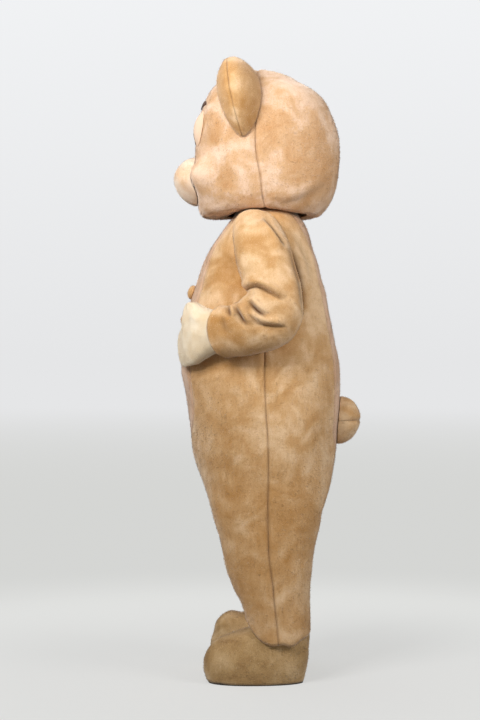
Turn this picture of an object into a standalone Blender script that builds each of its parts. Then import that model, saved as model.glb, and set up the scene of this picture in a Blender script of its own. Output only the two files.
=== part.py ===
"""Bear mascot costume, worn: a plush head, a one-piece suit, mitts and boots, each piece its own solid.

The bear faces -Y and its left side is +X. Sizes below are metres above the floor; the whole costume hangs
from an empty that puts the row's origin at the wearer's shoulders, where the suit is held up.
"""

import math

import bmesh
import bpy
import numpy as np

# ---- driving sizes -------------------------------------------------------------------------------

HOLD_HEIGHT = 1.470  # wearer's shoulders above the floor
PLUSH = 0.0040  # backing and pile of the suit's plush
HEAD_WALL = 0.0070  # plush over the head's formed shell
EAR_WALL = 0.0060
MITT_WALL = 0.0035
BOOT_WALL = 0.0060
SEAM_GAP = 0.0003  # between two pieces sewn together
LAID_GAP = 0.0012  # between a piece and the curved panel under it
SMALL_GAP = 0.0003  # the same under a button or a brow, which cover less of the curve
EAR_GAP = 0.0017  # between the long base of an ear and the head
MERGE = 0.000001  # points closer than this are one point
STEP = 0.0005  # step for reading a surface's slope
FULL_TURN = (0.0, 360.0)  # degrees
ROUNDNESS = 0.90  # power of sine and cosine in a cross-section; 1 is an ellipse, less is squarer

# ---- colours -------------------------------------------------------------------------------------

FUR = (0.62, 0.38, 0.19)
FUR_PINK = (0.66, 0.41, 0.26)
FUR_FOOT = (0.42, 0.26, 0.14)
CREAM = (0.86, 0.72, 0.55)
WHITE = (0.88, 0.84, 0.78)
DARK = (0.045, 0.03, 0.025)

# ---- the suit ------------------------------------------------------------------------------------

SUIT_COLUMNS = ("level", "outer", "inner", "front", "back", "side")
SUIT_ROWS = (
    (1.5100, 0.086, -0.086, -0.0880, 0.0900, -0.0150),
    (1.4900, 0.100, -0.100, -0.0920, 0.0920, -0.0150),
    (1.4750, 0.144, -0.144, -0.0990, 0.0900, -0.0150),
    (1.4610, 0.171, -0.171, -0.1090, 0.0960, -0.0150),
    (1.4480, 0.186, -0.186, -0.1180, 0.1060, -0.0150),
    (1.4250, 0.197, -0.197, -0.1370, 0.1200, -0.0150),
    (1.4040, 0.203, -0.203, -0.1520, 0.1290, -0.0150),
    (1.3590, 0.209, -0.209, -0.1840, 0.1420, -0.0150),
    (1.3100, 0.212, -0.212, -0.2080, 0.1600, -0.0150),
    (1.2590, 0.215, -0.215, -0.2250, 0.1720, -0.0150),
    (1.2180, 0.219, -0.219, -0.2370, 0.1840, -0.0150),
    (1.1540, 0.227, -0.227, -0.2550, 0.1950, -0.0150),
    (1.0540, 0.246, -0.246, -0.2700, 0.2130, -0.0160),
    (0.9710, 0.264, -0.264, -0.2780, 0.2265, -0.0160),
    (0.9010, 0.272, -0.272, -0.2660, 0.2290, -0.0140),
    (0.8240, 0.273, -0.273, -0.2540, 0.2270, -0.0100),
    (0.7730, 0.270, -0.268, -0.2460, 0.2220, -0.0060),
    (0.7180, 0.266, -0.257, -0.2395, 0.2170, -0.0040),
    (0.6650, 0.260, -0.215, -0.2250, 0.2080, -0.0035),
    (0.6100, 0.254, -0.132, -0.2050, 0.1950, -0.0040),
    (0.5700, 0.250, -0.056, -0.1920, 0.1810, -0.0050),
    (0.5420, 0.247, -0.012, -0.1840, 0.1710, -0.0050),
    (0.5200, 0.245, 0.006, -0.1780, 0.1640, -0.0050),
    (0.4980, 0.243, 0.011, -0.1720, 0.1620, -0.0045),
    (0.4410, 0.240, 0.015, -0.1520, 0.1500, -0.0030),
    (0.3910, 0.237, 0.018, -0.1420, 0.1415, -0.0010),
    (0.3475, 0.235, 0.022, -0.1330, 0.1370, 0.0050),
    (0.3130, 0.234, 0.027, -0.1200, 0.1325, 0.0100),
    (0.2730, 0.233, 0.033, -0.1070, 0.1300, 0.0140),
    (0.2390, 0.233, 0.040, -0.0930, 0.1290, 0.0180),
    (0.2060, 0.233, 0.045, -0.0840, 0.1290, 0.0230),
    (0.1500, 0.234, 0.050, -0.0720, 0.1280, 0.0280),
)
CROTCH_LEVEL = 0.5275
HEM_LEVEL = 0.1500
NECK_LEVEL = 1.5100
HEM_FREE = 0.1700  # height above the hem over which its wave fades
HEM_FRONT, HEM_OUTSIDE, HEM_INSIDE, HEM_BACK = 0.034, -0.025, -0.004, 0.002  # how far the hem rises

BELLY_BOTTOM, BELLY_FULL = 0.765, 0.900  # where the belly panel starts and reaches its full width
BELLY_ANGLE, BELLY_NECK_ANGLE = 27.0, 30.0  # half of the panel's turn around the body, in degrees
BACK_BOTTOM, BACK_FULL = 0.700, 0.800
BACK_ANGLE, BACK_NECK_ANGLE = 25.0, 46.0

ARMHOLE_MIDDLE, ARMHOLE_HALF = 1.3420, 0.1220  # height of the armhole's middle, and half its height
ARMHOLE_TURN = 27.5  # half its width, in degrees around the body
ARMHOLE_SLANT = 10.0  # degrees that its top leans forward and its bottom back
ARMHOLE_POWER = 0.80
SEAM_SWING = 0.130  # height below the armhole over which the side seam swings back to its foot

SLEEVE_COLUMNS = ("ring", "x", "y", "z", "bend_y", "bend_z", "side_x", "side_y", "side_z")
SLEEVE_ROWS = (
    # centre of each ring, its half vector towards the elbow's outside, and its half vector away from the body
    (1, 0.2300, -0.0215, 1.3420, 0.0860, 0.0000, -0.0040, -0.028, 0.1210),
    (2, 0.2650, -0.0160, 1.3120, 0.0900, -0.0040, 0.0260, -0.020, 0.0960),
    (3, 0.2930, -0.0040, 1.2630, 0.0920, -0.0060, 0.0480, -0.010, 0.0590),
    (4, 0.3110, 0.0090, 1.2110, 0.0890, -0.0120, 0.0640, -0.003, 0.0240),
    (5, 0.3180, 0.0140, 1.1700, 0.0850, -0.0330, 0.0690, 0.000, 0.0070),
    (6, 0.3195, 0.0015, 1.1365, 0.0740, -0.0620, 0.0700, -0.004, 0.0000),
    (7, 0.3180, -0.0270, 1.1120, 0.0550, -0.0770, 0.0690, -0.012, 0.0000),
    (8, 0.3130, -0.0650, 1.0960, 0.0330, -0.0800, 0.0660, -0.024, 0.0000),
    (9, 0.3020, -0.1050, 1.0870, 0.0170, -0.0790, 0.0590, -0.037, 0.0000),
    (10, 0.2830, -0.1440, 1.0860, 0.0060, -0.0740, 0.0490, -0.049, 0.0000),
)
SLEEVE_STEPS = 14  # rings after the armhole
SLEEVE_ROUNDNESS = 0.88

CREASE_COLUMNS = ("ring", "angle", "along", "around", "lean", "depth")
CREASE_ROWS = (
    # place by ring and by angle from the elbow's outside over the sleeve, its reach each way in rings
    # and degrees, the rings it moves per 90 degrees, and its depth
    (5.10, 150.0, 0.50, 52.0, -0.90, 0.0090),
    (6.90, 150.0, 0.45, 48.0, 0.60, 0.0080),
    (8.60, 150.0, 0.50, 40.0, 0.70, 0.0050),
)

BUTTON_RADIUS, BUTTON_HEIGHT, BUTTON_RIM = 0.022, 0.015, 0.004
BUTTON_HEIGHTS = (1.215, 1.128)
TAIL_RADIUS, TAIL_OUT, TAIL_RIM, TAIL_HEIGHT = 0.078, 0.067, 0.002, 0.808

# ---- the head ------------------------------------------------------------------------------------

HEAD_COLUMNS = ("row", "z", "front", "back", "half", "side")
HEAD_ROWS = (
    (0, 1.4530, -0.1320, 0.1240, 0.1500, -0.0120),
    (1, 1.4505, -0.1780, 0.1460, 0.1740, -0.0125),
    (2, 1.4535, -0.2040, 0.1600, 0.1900, -0.0130),
    (3, 1.4650, -0.2180, 0.1730, 0.2020, -0.0145),
    (4, 1.4850, -0.2245, 0.1900, 0.2135, -0.0180),
    (5, 1.5150, -0.2270, 0.2060, 0.2275, -0.0230),
    (6, 1.5550, -0.2300, 0.2185, 0.2345, -0.0268),
    (7, 1.6000, -0.2325, 0.2260, 0.2380, -0.0355),
    (8, 1.6450, -0.2325, 0.2287, 0.2380, -0.0415),
    (9, 1.6900, -0.2300, 0.2265, 0.2355, -0.0435),
    (10, 1.7350, -0.2255, 0.2180, 0.2290, -0.0440),
    (11, 1.7800, -0.2170, 0.2010, 0.2180, -0.0440),
    (12, 1.8200, -0.2040, 0.1810, 0.2010, -0.0430),
    (13, 1.8525, -0.1870, 0.1500, 0.1800, -0.0420),
    (14, 1.8800, -0.1600, 0.1010, 0.1500, -0.0400),
    (15, 1.9020, -0.1180, 0.0680, 0.1120, -0.0370),
    (16, 1.9155, -0.0830, 0.0260, 0.0740, -0.0340),
    (17, 1.9215, -0.0560, -0.0090, 0.0360, -0.0320),
    (18, 1.9230, -0.0300, -0.0300, 0.0000, -0.0300),
)
HEAD_TOP_ROW = 18
HEAD_ROUNDNESS = 0.88
RIM_FREE_ROWS = 6.0  # rows above the neck rim over which its arch fades
RIM_SIDE, RIM_BACK = 0.0206, 0.010  # how far the rim arches up over the shoulders and at the back

CHEEK_ANGLE, CHEEK_SPREAD = 30.0, 15.0  # degrees around the head
CHEEK_Z, CHEEK_TALL, CHEEK_OUT = 1.573, 0.056, 0.040

MUZZLE_Z, MUZZLE_HALF_WIDTH, MUZZLE_HALF_HEIGHT = 1.5685, 0.094, 0.0775
MUZZLE_OUT, MUZZLE_WALL = 0.0745, 0.006
GROOVE_SHARE, GROOVE_WIDTH = 0.30, 0.022  # share of the muzzle's depth, and its half width

NOSE_Z, NOSE_HALF_WIDTH, NOSE_HALF_HEIGHT, NOSE_OUT, NOSE_RIM = 1.606, 0.026, 0.017, 0.006, 0.002
EYE_X, EYE_Z, EYE_HALF_WIDTH, EYE_HALF_HEIGHT = 0.080, 1.729, 0.042, 0.060
EYE_OUT, EYE_RIM = 0.019, 0.002
BROW_X, BROW_Z, BROW_HALF_WIDTH, BROW_HALF_HEIGHT = 0.070, 1.8030, 0.030, 0.0075
BROW_OUT, BROW_RIM, BROW_TILT, BROW_ARCH = 0.002, 0.002, 8.0, 0.010

EAR_HALF_LENGTH = 0.155
EAR_MIDDLE = (0.160, -0.091, 1.8135)
EAR_LEAN = 30.0  # degrees that the ear's outward axis rises above level
EAR_SWAY = 0.009  # how far its upper end stands ahead of its middle, and its lower end behind
EAR_TAPER = 1.25  # how fast it thins towards its two ends; 1 keeps one section all along
EAR_PROFILE_COLUMNS = ("step", "forward", "out")
EAR_PROFILE = (
    # from the front joint over the rim to the back joint
    (0, 0.0540, 0.0000),
    (1, 0.0680, 0.0300),
    (2, 0.0740, 0.0620),
    (3, 0.0615, 0.1010),
    (4, 0.0400, 0.1185),
    (5, 0.0150, 0.1100),
    (6, -0.0190, 0.0830),
    (7, -0.0490, 0.0430),
    (8, -0.0690, 0.0000),
)
EAR_RIM_STEP, EAR_LAST_STEP = 4, 8

# ---- the mitts -----------------------------------------------------------------------------------

MITT_COLUMNS = ("ring", "x", "y", "z", "up", "down", "thick", "turn", "drop")
MITT_ROWS = (
    # centre of each ring, its reach up to the thumb's edge and down to the other, half its thickness,
    # and which way it points: turned from -Y towards the body's middle, and dropped, in degrees
    (0.0, 0.2980, -0.1150, 1.0880, 0.0600, 0.0600, 0.0520, 38.0, 0.0),
    (1.0, 0.2780, -0.1500, 1.0870, 0.0620, 0.0610, 0.0500, 46.0, 2.0),
    (2.0, 0.2560, -0.1830, 1.0820, 0.0760, 0.0650, 0.0440, 52.0, 8.0),
    (3.0, 0.2290, -0.2135, 1.0720, 0.1080, 0.0730, 0.0360, 55.0, 12.0),
    (4.0, 0.1970, -0.2368, 1.0600, 0.1200, 0.0780, 0.0290, 60.0, 12.0),
    (4.5, 0.1800, -0.2460, 1.0550, 0.0860, 0.0765, 0.0270, 63.0, 11.0),
    (4.9, 0.1670, -0.2524, 1.0510, 0.0630, 0.0750, 0.0250, 66.0, 10.0),
    (6.0, 0.1290, -0.2669, 1.0400, 0.0570, 0.0660, 0.0200, 72.0, 8.0),
    (7.0, 0.1040, -0.2741, 1.0340, 0.0350, 0.0430, 0.0130, 76.0, 8.0),
    (8.0, 0.0910, -0.2777, 1.0310, 0.0000, 0.0000, 0.0000, 78.0, 8.0),
)
MITT_LAST_RING = 8
MITT_ROUNDNESS = 0.9

# ---- the boots -----------------------------------------------------------------------------------

FOOT_X = 0.1430
BOOT_SHIFT = {"left": 0.0, "right": 0.016}  # the right foot stands a little further back
BOOT_PUFF = {"left": 0.0, "right": 0.028}  # and its instep puffs up more in front of the hem
PUFF_Y, PUFF_LONG, PUFF_RISE = -0.135, 0.045, 0.090
ANKLE_START, ANKLE_REACH, ANKLE_HOLD = 0.100, 0.050, 0.85  # where that shift fades, and how much goes
BOOT_ROUNDNESS = 0.92
BOOT_COLUMNS = ("level", "front", "back", "half", "side")
BOOT_ROWS = (
    (0.0093, -0.1880, 0.1060, 0.0680, -0.060),
    (0.0200, -0.1970, 0.1120, 0.0750, -0.058),
    (0.0400, -0.2030, 0.1180, 0.0800, -0.052),
    (0.0650, -0.2030, 0.1225, 0.0810, -0.044),
    (0.0900, -0.1960, 0.1250, 0.0790, -0.034),
    (0.1120, -0.1820, 0.1235, 0.0760, -0.020),
    (0.1320, -0.1580, 0.1190, 0.0720, -0.004),
    (0.1470, -0.1280, 0.1150, 0.0692, 0.008),
    (0.1570, -0.1020, 0.1120, 0.0652, 0.016),
    (0.1650, -0.0780, 0.1100, 0.0621, 0.020),
    (0.1740, -0.0590, 0.1080, 0.0590, 0.022),
    (0.2150, -0.0500, 0.1060, 0.0580, 0.026),
)
SOLE_TOP = 0.0090
SOLE_EDGE = 0.0020  # how far the sole stands out past the upper


class Table:
    """Rows of sizes with named columns, read smoothly between the rows by the first column."""

    def __init__(self, names, rows):
        data = np.array(sorted(rows), dtype=float)
        self.at = data[:, 0]
        self.values = dict(zip(names[1:], data[:, 1:].T))
        self.slopes = {name: self.slopes_of(column) for name, column in self.values.items()}

    def slopes_of(self, column):
        """Slope at each row, held flat at a turning point so that the curve never overshoots."""
        step = np.diff(column) / np.diff(self.at)
        slopes = np.empty_like(column)
        slopes[0], slopes[-1] = step[0], step[-1]
        before, after = step[:-1], step[1:]
        mean = 2 * before * after / np.where(before + after == 0, 1, before + after)
        slopes[1:-1] = np.where(before * after > 0, mean, 0)
        return slopes

    def read(self, name, at):
        """Value of one column at any height or row number between the table's ends."""
        at = np.clip(np.asarray(at, dtype=float), self.at[0], self.at[-1])
        low = np.clip(np.searchsorted(self.at, at, side="right") - 1, 0, len(self.at) - 2)
        width = self.at[low + 1] - self.at[low]
        part = (at - self.at[low]) / width
        column, slopes = self.values[name], self.slopes[name]
        rise = column[low + 1] - column[low]
        start, end = slopes[low] * width, slopes[low + 1] * width
        bend = 3 * rise - 2 * start - end
        twist = start + end - 2 * rise
        return column[low] + part * (start + part * (bend + part * twist))


SUIT = Table(SUIT_COLUMNS, SUIT_ROWS)
HEAD = Table(HEAD_COLUMNS, HEAD_ROWS)
SLEEVE = Table(SLEEVE_COLUMNS, SLEEVE_ROWS)
EAR = Table(EAR_PROFILE_COLUMNS, EAR_PROFILE)
MITT = Table(MITT_COLUMNS, MITT_ROWS)
BOOT = Table(BOOT_COLUMNS, BOOT_ROWS)


# ---- shared shapes -------------------------------------------------------------------------------


def powered(value, power):
    """A sine or cosine bent towards a squarer shape, keeping its sign."""
    return np.sign(value) * np.abs(value) ** power


def ease(value):
    """0 to 1 with a level start and end."""
    value = np.clip(value, 0, 1)
    return value * value * (3 - 2 * value)


def stack(x, y, z):
    """Points from three arrays of coordinates."""
    return np.stack(np.broadcast_arrays(x, y, z), axis=-1).astype(float)


def section(angle, middle_x, half, front, back, side, power):
    """A cross-section that faces -Y at angle 0 and +X at 90 degrees, deeper in front or behind as given."""
    across, ahead = powered(np.sin(angle), power), powered(np.cos(angle), power)
    depth = np.where(ahead > 0, side - front, back - side)
    return middle_x + half * across, side - depth * ahead


def normals(surface, angle, level):
    """Unit outward normals of a surface given by angle and level."""
    around = surface(angle + STEP, level) - surface(angle - STEP, level)
    along = surface(angle, level + STEP) - surface(angle, level - STEP)
    cross = np.cross(around, along)
    return cross / np.maximum(np.linalg.norm(cross, axis=-1, keepdims=True), 1e-12)


def unit(vectors):
    """Vectors of length 1."""
    return vectors / np.maximum(np.linalg.norm(vectors, axis=-1, keepdims=True), 1e-12)


def seamed(outer, inner):
    """Outer and inner points with the first and last column drawn in by half a seam gap."""
    outer, inner = outer.copy(), inner.copy()
    for edge, near in ((0, 1), (-1, -2)):
        along = np.gradient(outer[:, edge], axis=0)
        inward = unit(np.cross(outer[:, edge] - inner[:, edge], along))
        towards = np.sum(inward * (outer[:, near] - outer[:, edge]), axis=-1, keepdims=True)
        shift = inward * np.where(towards < 0, -1, 1) * SEAM_GAP / 2
        outer[:, edge] += shift
        inner[:, edge] += shift
    return [outer, inner]


# ---- the suit's surface --------------------------------------------------------------------------


def hem_rise(angle):
    """How far the hem stands above its level: highest in front, lowest at the side seam."""
    front = np.maximum(np.cos(angle), 0) ** 2
    back = np.maximum(-np.cos(angle), 0) ** 2
    outside = np.maximum(np.sin(angle), 0) ** 2
    inside = np.maximum(-np.sin(angle), 0) ** 2
    return HEM_FRONT * front + HEM_BACK * back + HEM_OUTSIDE * outside + HEM_INSIDE * inside


def suit_surface(angle, level):
    """The left half of the suit's outer surface: a leg below the crotch, half of the body above it."""
    outer, inner = SUIT.read("outer", level), SUIT.read("inner", level)
    x, y = section(
        angle,
        (outer + inner) / 2,
        (outer - inner) / 2,
        SUIT.read("front", level),
        SUIT.read("back", level),
        SUIT.read("side", level),
        ROUNDNESS,
    )
    fade = 1 - ease((level - HEM_LEVEL) / HEM_FREE)
    return stack(x, y, level + hem_rise(angle) * fade)


def centre_angle(level):
    """Angle at which the left half starts: 0 on the body, growing back to the inner leg at the crotch."""
    outer, inner = SUIT.read("outer", level), SUIT.read("inner", level)
    share = np.clip((outer + inner) / np.maximum(outer - inner, 1e-9), 0, 1)
    return np.where(level <= CROTCH_LEVEL, -math.pi / 2, -np.arcsin(share ** (1 / ROUNDNESS)))


def panel_angle(level, bottom, full, angle, neck_angle):
    """Half width of the belly or back panel, round at its foot and wider at the neck."""
    rise = np.clip((level - bottom) / (full - bottom), 0, 1)
    widen = ease((level - ARMHOLE_MIDDLE) / (NECK_LEVEL - ARMHOLE_MIDDLE))
    return np.radians(angle + (neck_angle - angle) * widen) * np.sqrt(1 - (1 - rise) ** 2)


def belly_angle(level):
    return panel_angle(level, BELLY_BOTTOM, BELLY_FULL, BELLY_ANGLE, BELLY_NECK_ANGLE)


def back_angle(level):
    return panel_angle(level, BACK_BOTTOM, BACK_FULL, BACK_ANGLE, BACK_NECK_ANGLE)


def seam_angle(level):
    """Angle of the side seam, swinging back under the arm and forward at the shoulder."""
    below = ARMHOLE_MIDDLE - ARMHOLE_HALF
    swing = ease((level - below + SEAM_SWING) / SEAM_SWING)
    across = np.clip((level - ARMHOLE_MIDDLE) / ARMHOLE_HALF, -1, 1)
    return np.radians(90 - ARMHOLE_SLANT * across * swing)


def armhole_turn(level):
    """Half the width of the armhole at a level, 0 above and below it."""
    across = np.clip(np.abs(level - ARMHOLE_MIDDLE) / ARMHOLE_HALF, 0, 1)
    return np.radians(ARMHOLE_TURN) * (1 - across ** (2 / ARMHOLE_POWER)) ** (ARMHOLE_POWER / 2)


def armhole_levels():
    """Heights of the rows that cross the armhole, closer together at its ends."""
    count = 10
    return [ARMHOLE_MIDDLE - ARMHOLE_HALF * math.cos(math.pi * i / count) for i in range(count + 1)]


def suit_levels():
    """Heights of the suit's rows, shared by all its panels so that their seams match."""
    legs = [HEM_LEVEL, 0.190, 0.240, 0.300, 0.360, 0.425, 0.480, 0.515, CROTCH_LEVEL]
    hips = [0.545, 0.575, 0.620, 0.660, BACK_BOTTOM, 0.710, 0.735, BELLY_BOTTOM, 0.775, 0.800, 0.845]
    body = [0.900, 0.970, 1.040, 1.110, 1.170]
    neck = [1.474, 1.487, NECK_LEVEL]
    return np.array(legs + hips + body + armhole_levels() + neck)


def suit_panel(start, end, levels, columns):
    """Outer and inner points of a suit panel between two angles given for each level."""
    part = np.linspace(0, 1, columns)[None, :]
    level = np.asarray(levels)[:, None]
    angle = start(level) * (1 - part) + end(level) * part
    outer = suit_surface(angle, level)
    inner = outer - PLUSH * normals(suit_surface, angle, level)
    return outer, inner


# ---- meshes --------------------------------------------------------------------------------------


def quads(rows, columns, wrap):
    """Corner indices of a grid's squares."""
    last = columns if wrap else columns - 1
    for row in range(rows - 1):
        for column in range(last):
            beside = (column + 1) % columns
            low, high = row * columns, (row + 1) * columns
            yield low + column, low + beside, high + beside, high + column


def edge_line(rows, columns, wrap):
    """Indices around a grid's border, as lists of points in order."""
    first = list(range(columns))
    last = [(rows - 1) * columns + column for column in range(columns)]
    if wrap:
        return [first + first[:1], last + last[:1]]
    left = [row * columns for row in range(rows)]
    right = [row * columns + columns - 1 for row in range(rows)]
    return [first, right, last[::-1], left[::-1]]


def add_shell(build, outer, inner, wrap):
    """Adds the closed wall between two grids of points to a mesh.

    Each square of its edge starts from its higher outer point, so that two walls sewn together match.
    """
    rows, columns = outer.shape[:2]
    both = np.concatenate([outer.reshape(-1, 3), inner.reshape(-1, 3)])
    points = [build.verts.new(point) for point in both]
    offset = rows * columns
    for a, b, c, d in quads(rows, columns, wrap):
        build.faces.new((points[a], points[b], points[c], points[d]))
        build.faces.new((points[offset + d], points[offset + c], points[offset + b], points[offset + a]))
    for line in edge_line(rows, columns, wrap):
        for a, b in zip(line, line[1:]):
            corners = [points[b], points[a], points[offset + a], points[offset + b]]
            if points[a].co.z > points[b].co.z:
                corners = corners[1:] + corners[:1]
            build.faces.new(corners)


def plain_material(name, colour, roughness):
    """A Principled material of one colour."""
    material = bpy.data.materials.new(name + "_material")
    material.use_nodes = True
    shader = material.node_tree.nodes["Principled BSDF"]
    shader.inputs["Base Color"].default_value = (*colour, 1)
    shader.inputs["Roughness"].default_value = roughness
    shader.inputs["Metallic"].default_value = 0.0
    return material


def make_piece(frame, name, grids, colour, wrap=False, roughness=0.95):
    """One named object: the wall between an outer and an inner grid, placed at its own middle."""
    outer, inner = grids
    middle = (outer.reshape(-1, 3).min(axis=0) + outer.reshape(-1, 3).max(axis=0)) / 2
    build = bmesh.new()
    add_shell(build, outer - middle, inner - middle, wrap)
    bmesh.ops.remove_doubles(build, verts=build.verts, dist=MERGE)
    bmesh.ops.recalc_face_normals(build, faces=build.faces)
    mesh = bpy.data.meshes.new(name)
    build.to_mesh(mesh)
    build.free()
    mesh.shade_smooth()
    mesh.set_sharp_from_angle(angle=math.radians(50))
    mesh.materials.append(plain_material(name, colour, roughness))
    piece = bpy.data.objects.new(name, mesh)
    bpy.context.scene.collection.objects.link(piece)
    piece.parent = frame
    piece.location = middle
    return piece


def mirrored(grids):
    """The same piece on the bear's right side."""
    return [grid * np.array([-1.0, 1.0, 1.0]) for grid in grids]


def make_pair(frame, name, grids, colour, wrap=False, roughness=0.95):
    """A left piece and its mirror image on the right."""
    make_piece(frame, name + "_left", grids, colour, wrap, roughness)
    make_piece(frame, name + "_right", mirrored(grids), colour, wrap, roughness)


# ---- suit pieces ---------------------------------------------------------------------------------


def front_start(level):
    return centre_angle(level) + belly_angle(level)


def front_end(level):
    return seam_angle(level) - armhole_turn(level)


def back_start(level):
    return seam_angle(level) + armhole_turn(level)


def back_end(level):
    return math.pi - centre_angle(level) - back_angle(level)


def keep_clear_of_middle(grids):
    """Holds a left piece half a seam gap off the body's middle plane."""
    held = [grid.copy() for grid in grids]
    for grid in held:
        grid[..., 0] = np.maximum(grid[..., 0], SEAM_GAP / 2)
    return held


def make_body(frame):
    """Front and back panels of each side, from the shoulder to the hem."""
    levels = suit_levels()
    front = keep_clear_of_middle(seamed(*suit_panel(front_start, front_end, levels, 7)))
    back = keep_clear_of_middle(seamed(*suit_panel(back_start, back_end, levels, 7)))
    make_pair(frame, "suit_front", front, FUR)
    make_pair(frame, "suit_back", back, FUR)


def drop_foot(grids):
    """Gathers a panel's lowest row into the one point of its rounded foot."""
    for grid in grids:
        grid[0] = grid[0].mean(axis=0) + np.array([0.0, 0.0, SEAM_GAP])
    return grids


def make_belly_panel(frame):
    """The centre front panel, rounded at its foot."""
    levels = [level for level in suit_levels() if level >= BELLY_BOTTOM]
    left = suit_panel(centre_angle, front_start, levels, 4)
    whole = [np.concatenate([right[:, :0:-1], grid], axis=1) for grid, right in zip(left, mirrored(left))]
    make_piece(frame, "belly_panel", drop_foot(seamed(*whole)), FUR_PINK)


def make_back_panels(frame):
    """The two centre back panels, which meet at the back opening."""
    levels = [level for level in suit_levels() if level >= BACK_BOTTOM]
    left = suit_panel(back_end, lambda level: math.pi - centre_angle(level), levels, 4)
    make_pair(frame, "back_panel", drop_foot(keep_clear_of_middle(seamed(*left))), FUR_PINK)


def armhole_ring():
    """Outer points, inner points and angles of the sleeve's root, just inside the armhole."""
    levels = np.array(armhole_levels())
    front = front_end(levels)[::-1]
    back = back_start(levels)[1:-1]
    angle = np.concatenate([back, front[:-1], front[-1:]])
    level = np.concatenate([levels[1:-1], levels[::-1]])
    outer = suit_surface(angle, level)
    inner = outer - PLUSH * normals(suit_surface, angle, level)
    across = (level - ARMHOLE_MIDDLE) / ARMHOLE_HALF
    ahead = (angle - seam_angle(level)) / np.radians(ARMHOLE_TURN)
    power = 1 / SLEEVE_ROUNDNESS
    return outer, inner, np.arctan2(powered(across, power), powered(ahead, power))


def shrunk(outer, inner, amount):
    """Both rings of points drawn towards their middle by an amount."""
    middle = outer.mean(axis=0)
    reach = outer - middle
    step = reach / np.linalg.norm(reach, axis=-1, keepdims=True) * amount
    return outer - step, inner - step


def crease_depth(angle, ring):
    """Depth of the folds that spread from the inside of the elbow."""
    depth = 0.0
    for at_ring, at_angle, along, around, lean, deep in CREASE_ROWS:
        turn = (np.degrees(angle) % 360) - at_angle
        offset = (ring - at_ring - lean * turn / 90) / along
        depth = depth + deep * np.exp(-(offset**2) - (turn / around) ** 2)
    return depth


def sleeve_surface(angle, ring):
    """The left sleeve's outer surface: angle 0 is the elbow's outside, 90 degrees away from the body."""
    away, out = powered(np.cos(angle), SLEEVE_ROUNDNESS), powered(np.sin(angle), SLEEVE_ROUNDNESS)
    read = {name: SLEEVE.read(name, ring) for name in SLEEVE_COLUMNS[1:]}
    centre = stack(read["x"], read["y"], read["z"])
    reach = stack(
        read["side_x"] * out,
        read["bend_y"] * away + read["side_y"] * out,
        read["bend_z"] * away + read["side_z"] * out,
    )
    length = np.linalg.norm(reach, axis=-1, keepdims=True)
    return centre + reach * (1 - crease_depth(angle, ring)[..., None] / length)


def sleeve_grids():
    """Outer and inner points of the left sleeve, from the armhole to the open cuff."""
    root_outer, root_inner, angle = armhole_ring()
    root_outer, root_inner = shrunk(root_outer, root_inner, SEAM_GAP)
    ring, angle = np.meshgrid(np.linspace(1, len(SLEEVE_ROWS), SLEEVE_STEPS), angle, indexing="ij")
    outer = sleeve_surface(angle, ring)
    inner = outer - PLUSH * normals(sleeve_surface, angle, ring)
    return [np.concatenate([root_outer[None], outer]), np.concatenate([root_inner[None], inner])]


def make_sleeves(frame):
    make_pair(frame, "sleeve", sleeve_grids(), FUR, wrap=True)


# ---- pieces that lie on a panel ------------------------------------------------------------------


def suit_front_at(x, z):
    """The point of the suit's front at a sideways place and a height."""
    share = np.clip(np.abs(x) / SUIT.read("outer", z), 0, 0.999)
    point = suit_surface(np.arcsin(share ** (1 / ROUNDNESS)), z)
    return point * np.stack([np.where(x < 0, -1.0, 1.0), np.ones_like(x), np.ones_like(x)], axis=-1)


def suit_back_at(x, z):
    """The point of the suit's back at a sideways place and a height."""
    share = np.clip(np.abs(x) / SUIT.read("outer", z), 0, 0.999)
    point = suit_surface(math.pi - np.arcsin(share ** (1 / ROUNDNESS)), z)
    return point * np.stack([np.where(x < 0, -1.0, 1.0), np.ones_like(x), np.ones_like(x)], axis=-1)


def field_normals(field, x, z, facing):
    """Unit normals of a field of points over x and z, on its front (-1) or back (+1) side."""
    across = field(x + STEP, z) - field(x - STEP, z)
    up = field(x, z + STEP) - field(x, z - STEP)
    cross = np.cross(across, up)
    cross *= np.sign(cross[..., 1:2] * facing)
    return cross / np.linalg.norm(cross, axis=-1, keepdims=True)


def lens(
    field, facing, place, radii, out, rim, counts, turns=FULL_TURN, tilt=0.0, arch=0.0, level=False, gap=LAID_GAP
):
    """A domed piece laid on a field of points, whole or cut from one turn to another.

    Counts are its rings and its sides, and gap its clearance over the field. A level piece stands straight out from the field; any other
    stands square to it.
    """
    rings, sides = counts
    whole = turns[1] - turns[0] >= 360
    turn = np.radians(np.linspace(*turns, sides, endpoint=not whole))[None, :]
    reach = np.sin(np.linspace(math.pi / 2, 0, rings))[:, None]
    along, up = radii[0] * reach * np.cos(turn), radii[1] * reach * np.sin(turn)
    up = up + arch * (1 - (along / radii[0]) ** 2) - arch / 2
    lean = math.radians(tilt)
    x = place[0] + along * math.cos(lean) - up * math.sin(lean)
    z = place[1] + along * math.sin(lean) + up * math.cos(lean)
    base, away = field(x, z), field_normals(field, x, z, facing)
    if level:
        away = np.broadcast_to([0.0, float(facing), 0.0], away.shape)
    height = gap + rim + out * np.sqrt(np.clip(1 - reach**2, 0, 1))[..., None]
    return [base + away * height, base + away * gap]


def make_buttons(frame):
    for number, height in enumerate(BUTTON_HEIGHTS, start=1):
        place = (0.0, height)
        radii = (BUTTON_RADIUS, BUTTON_RADIUS)
        sizes = (BUTTON_HEIGHT, BUTTON_RIM, (4, 12))
        grids = lens(suit_front_at, -1, place, radii, *sizes, gap=SMALL_GAP)
        make_piece(frame, f"button_{number}", grids, FUR, wrap=True)


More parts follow.
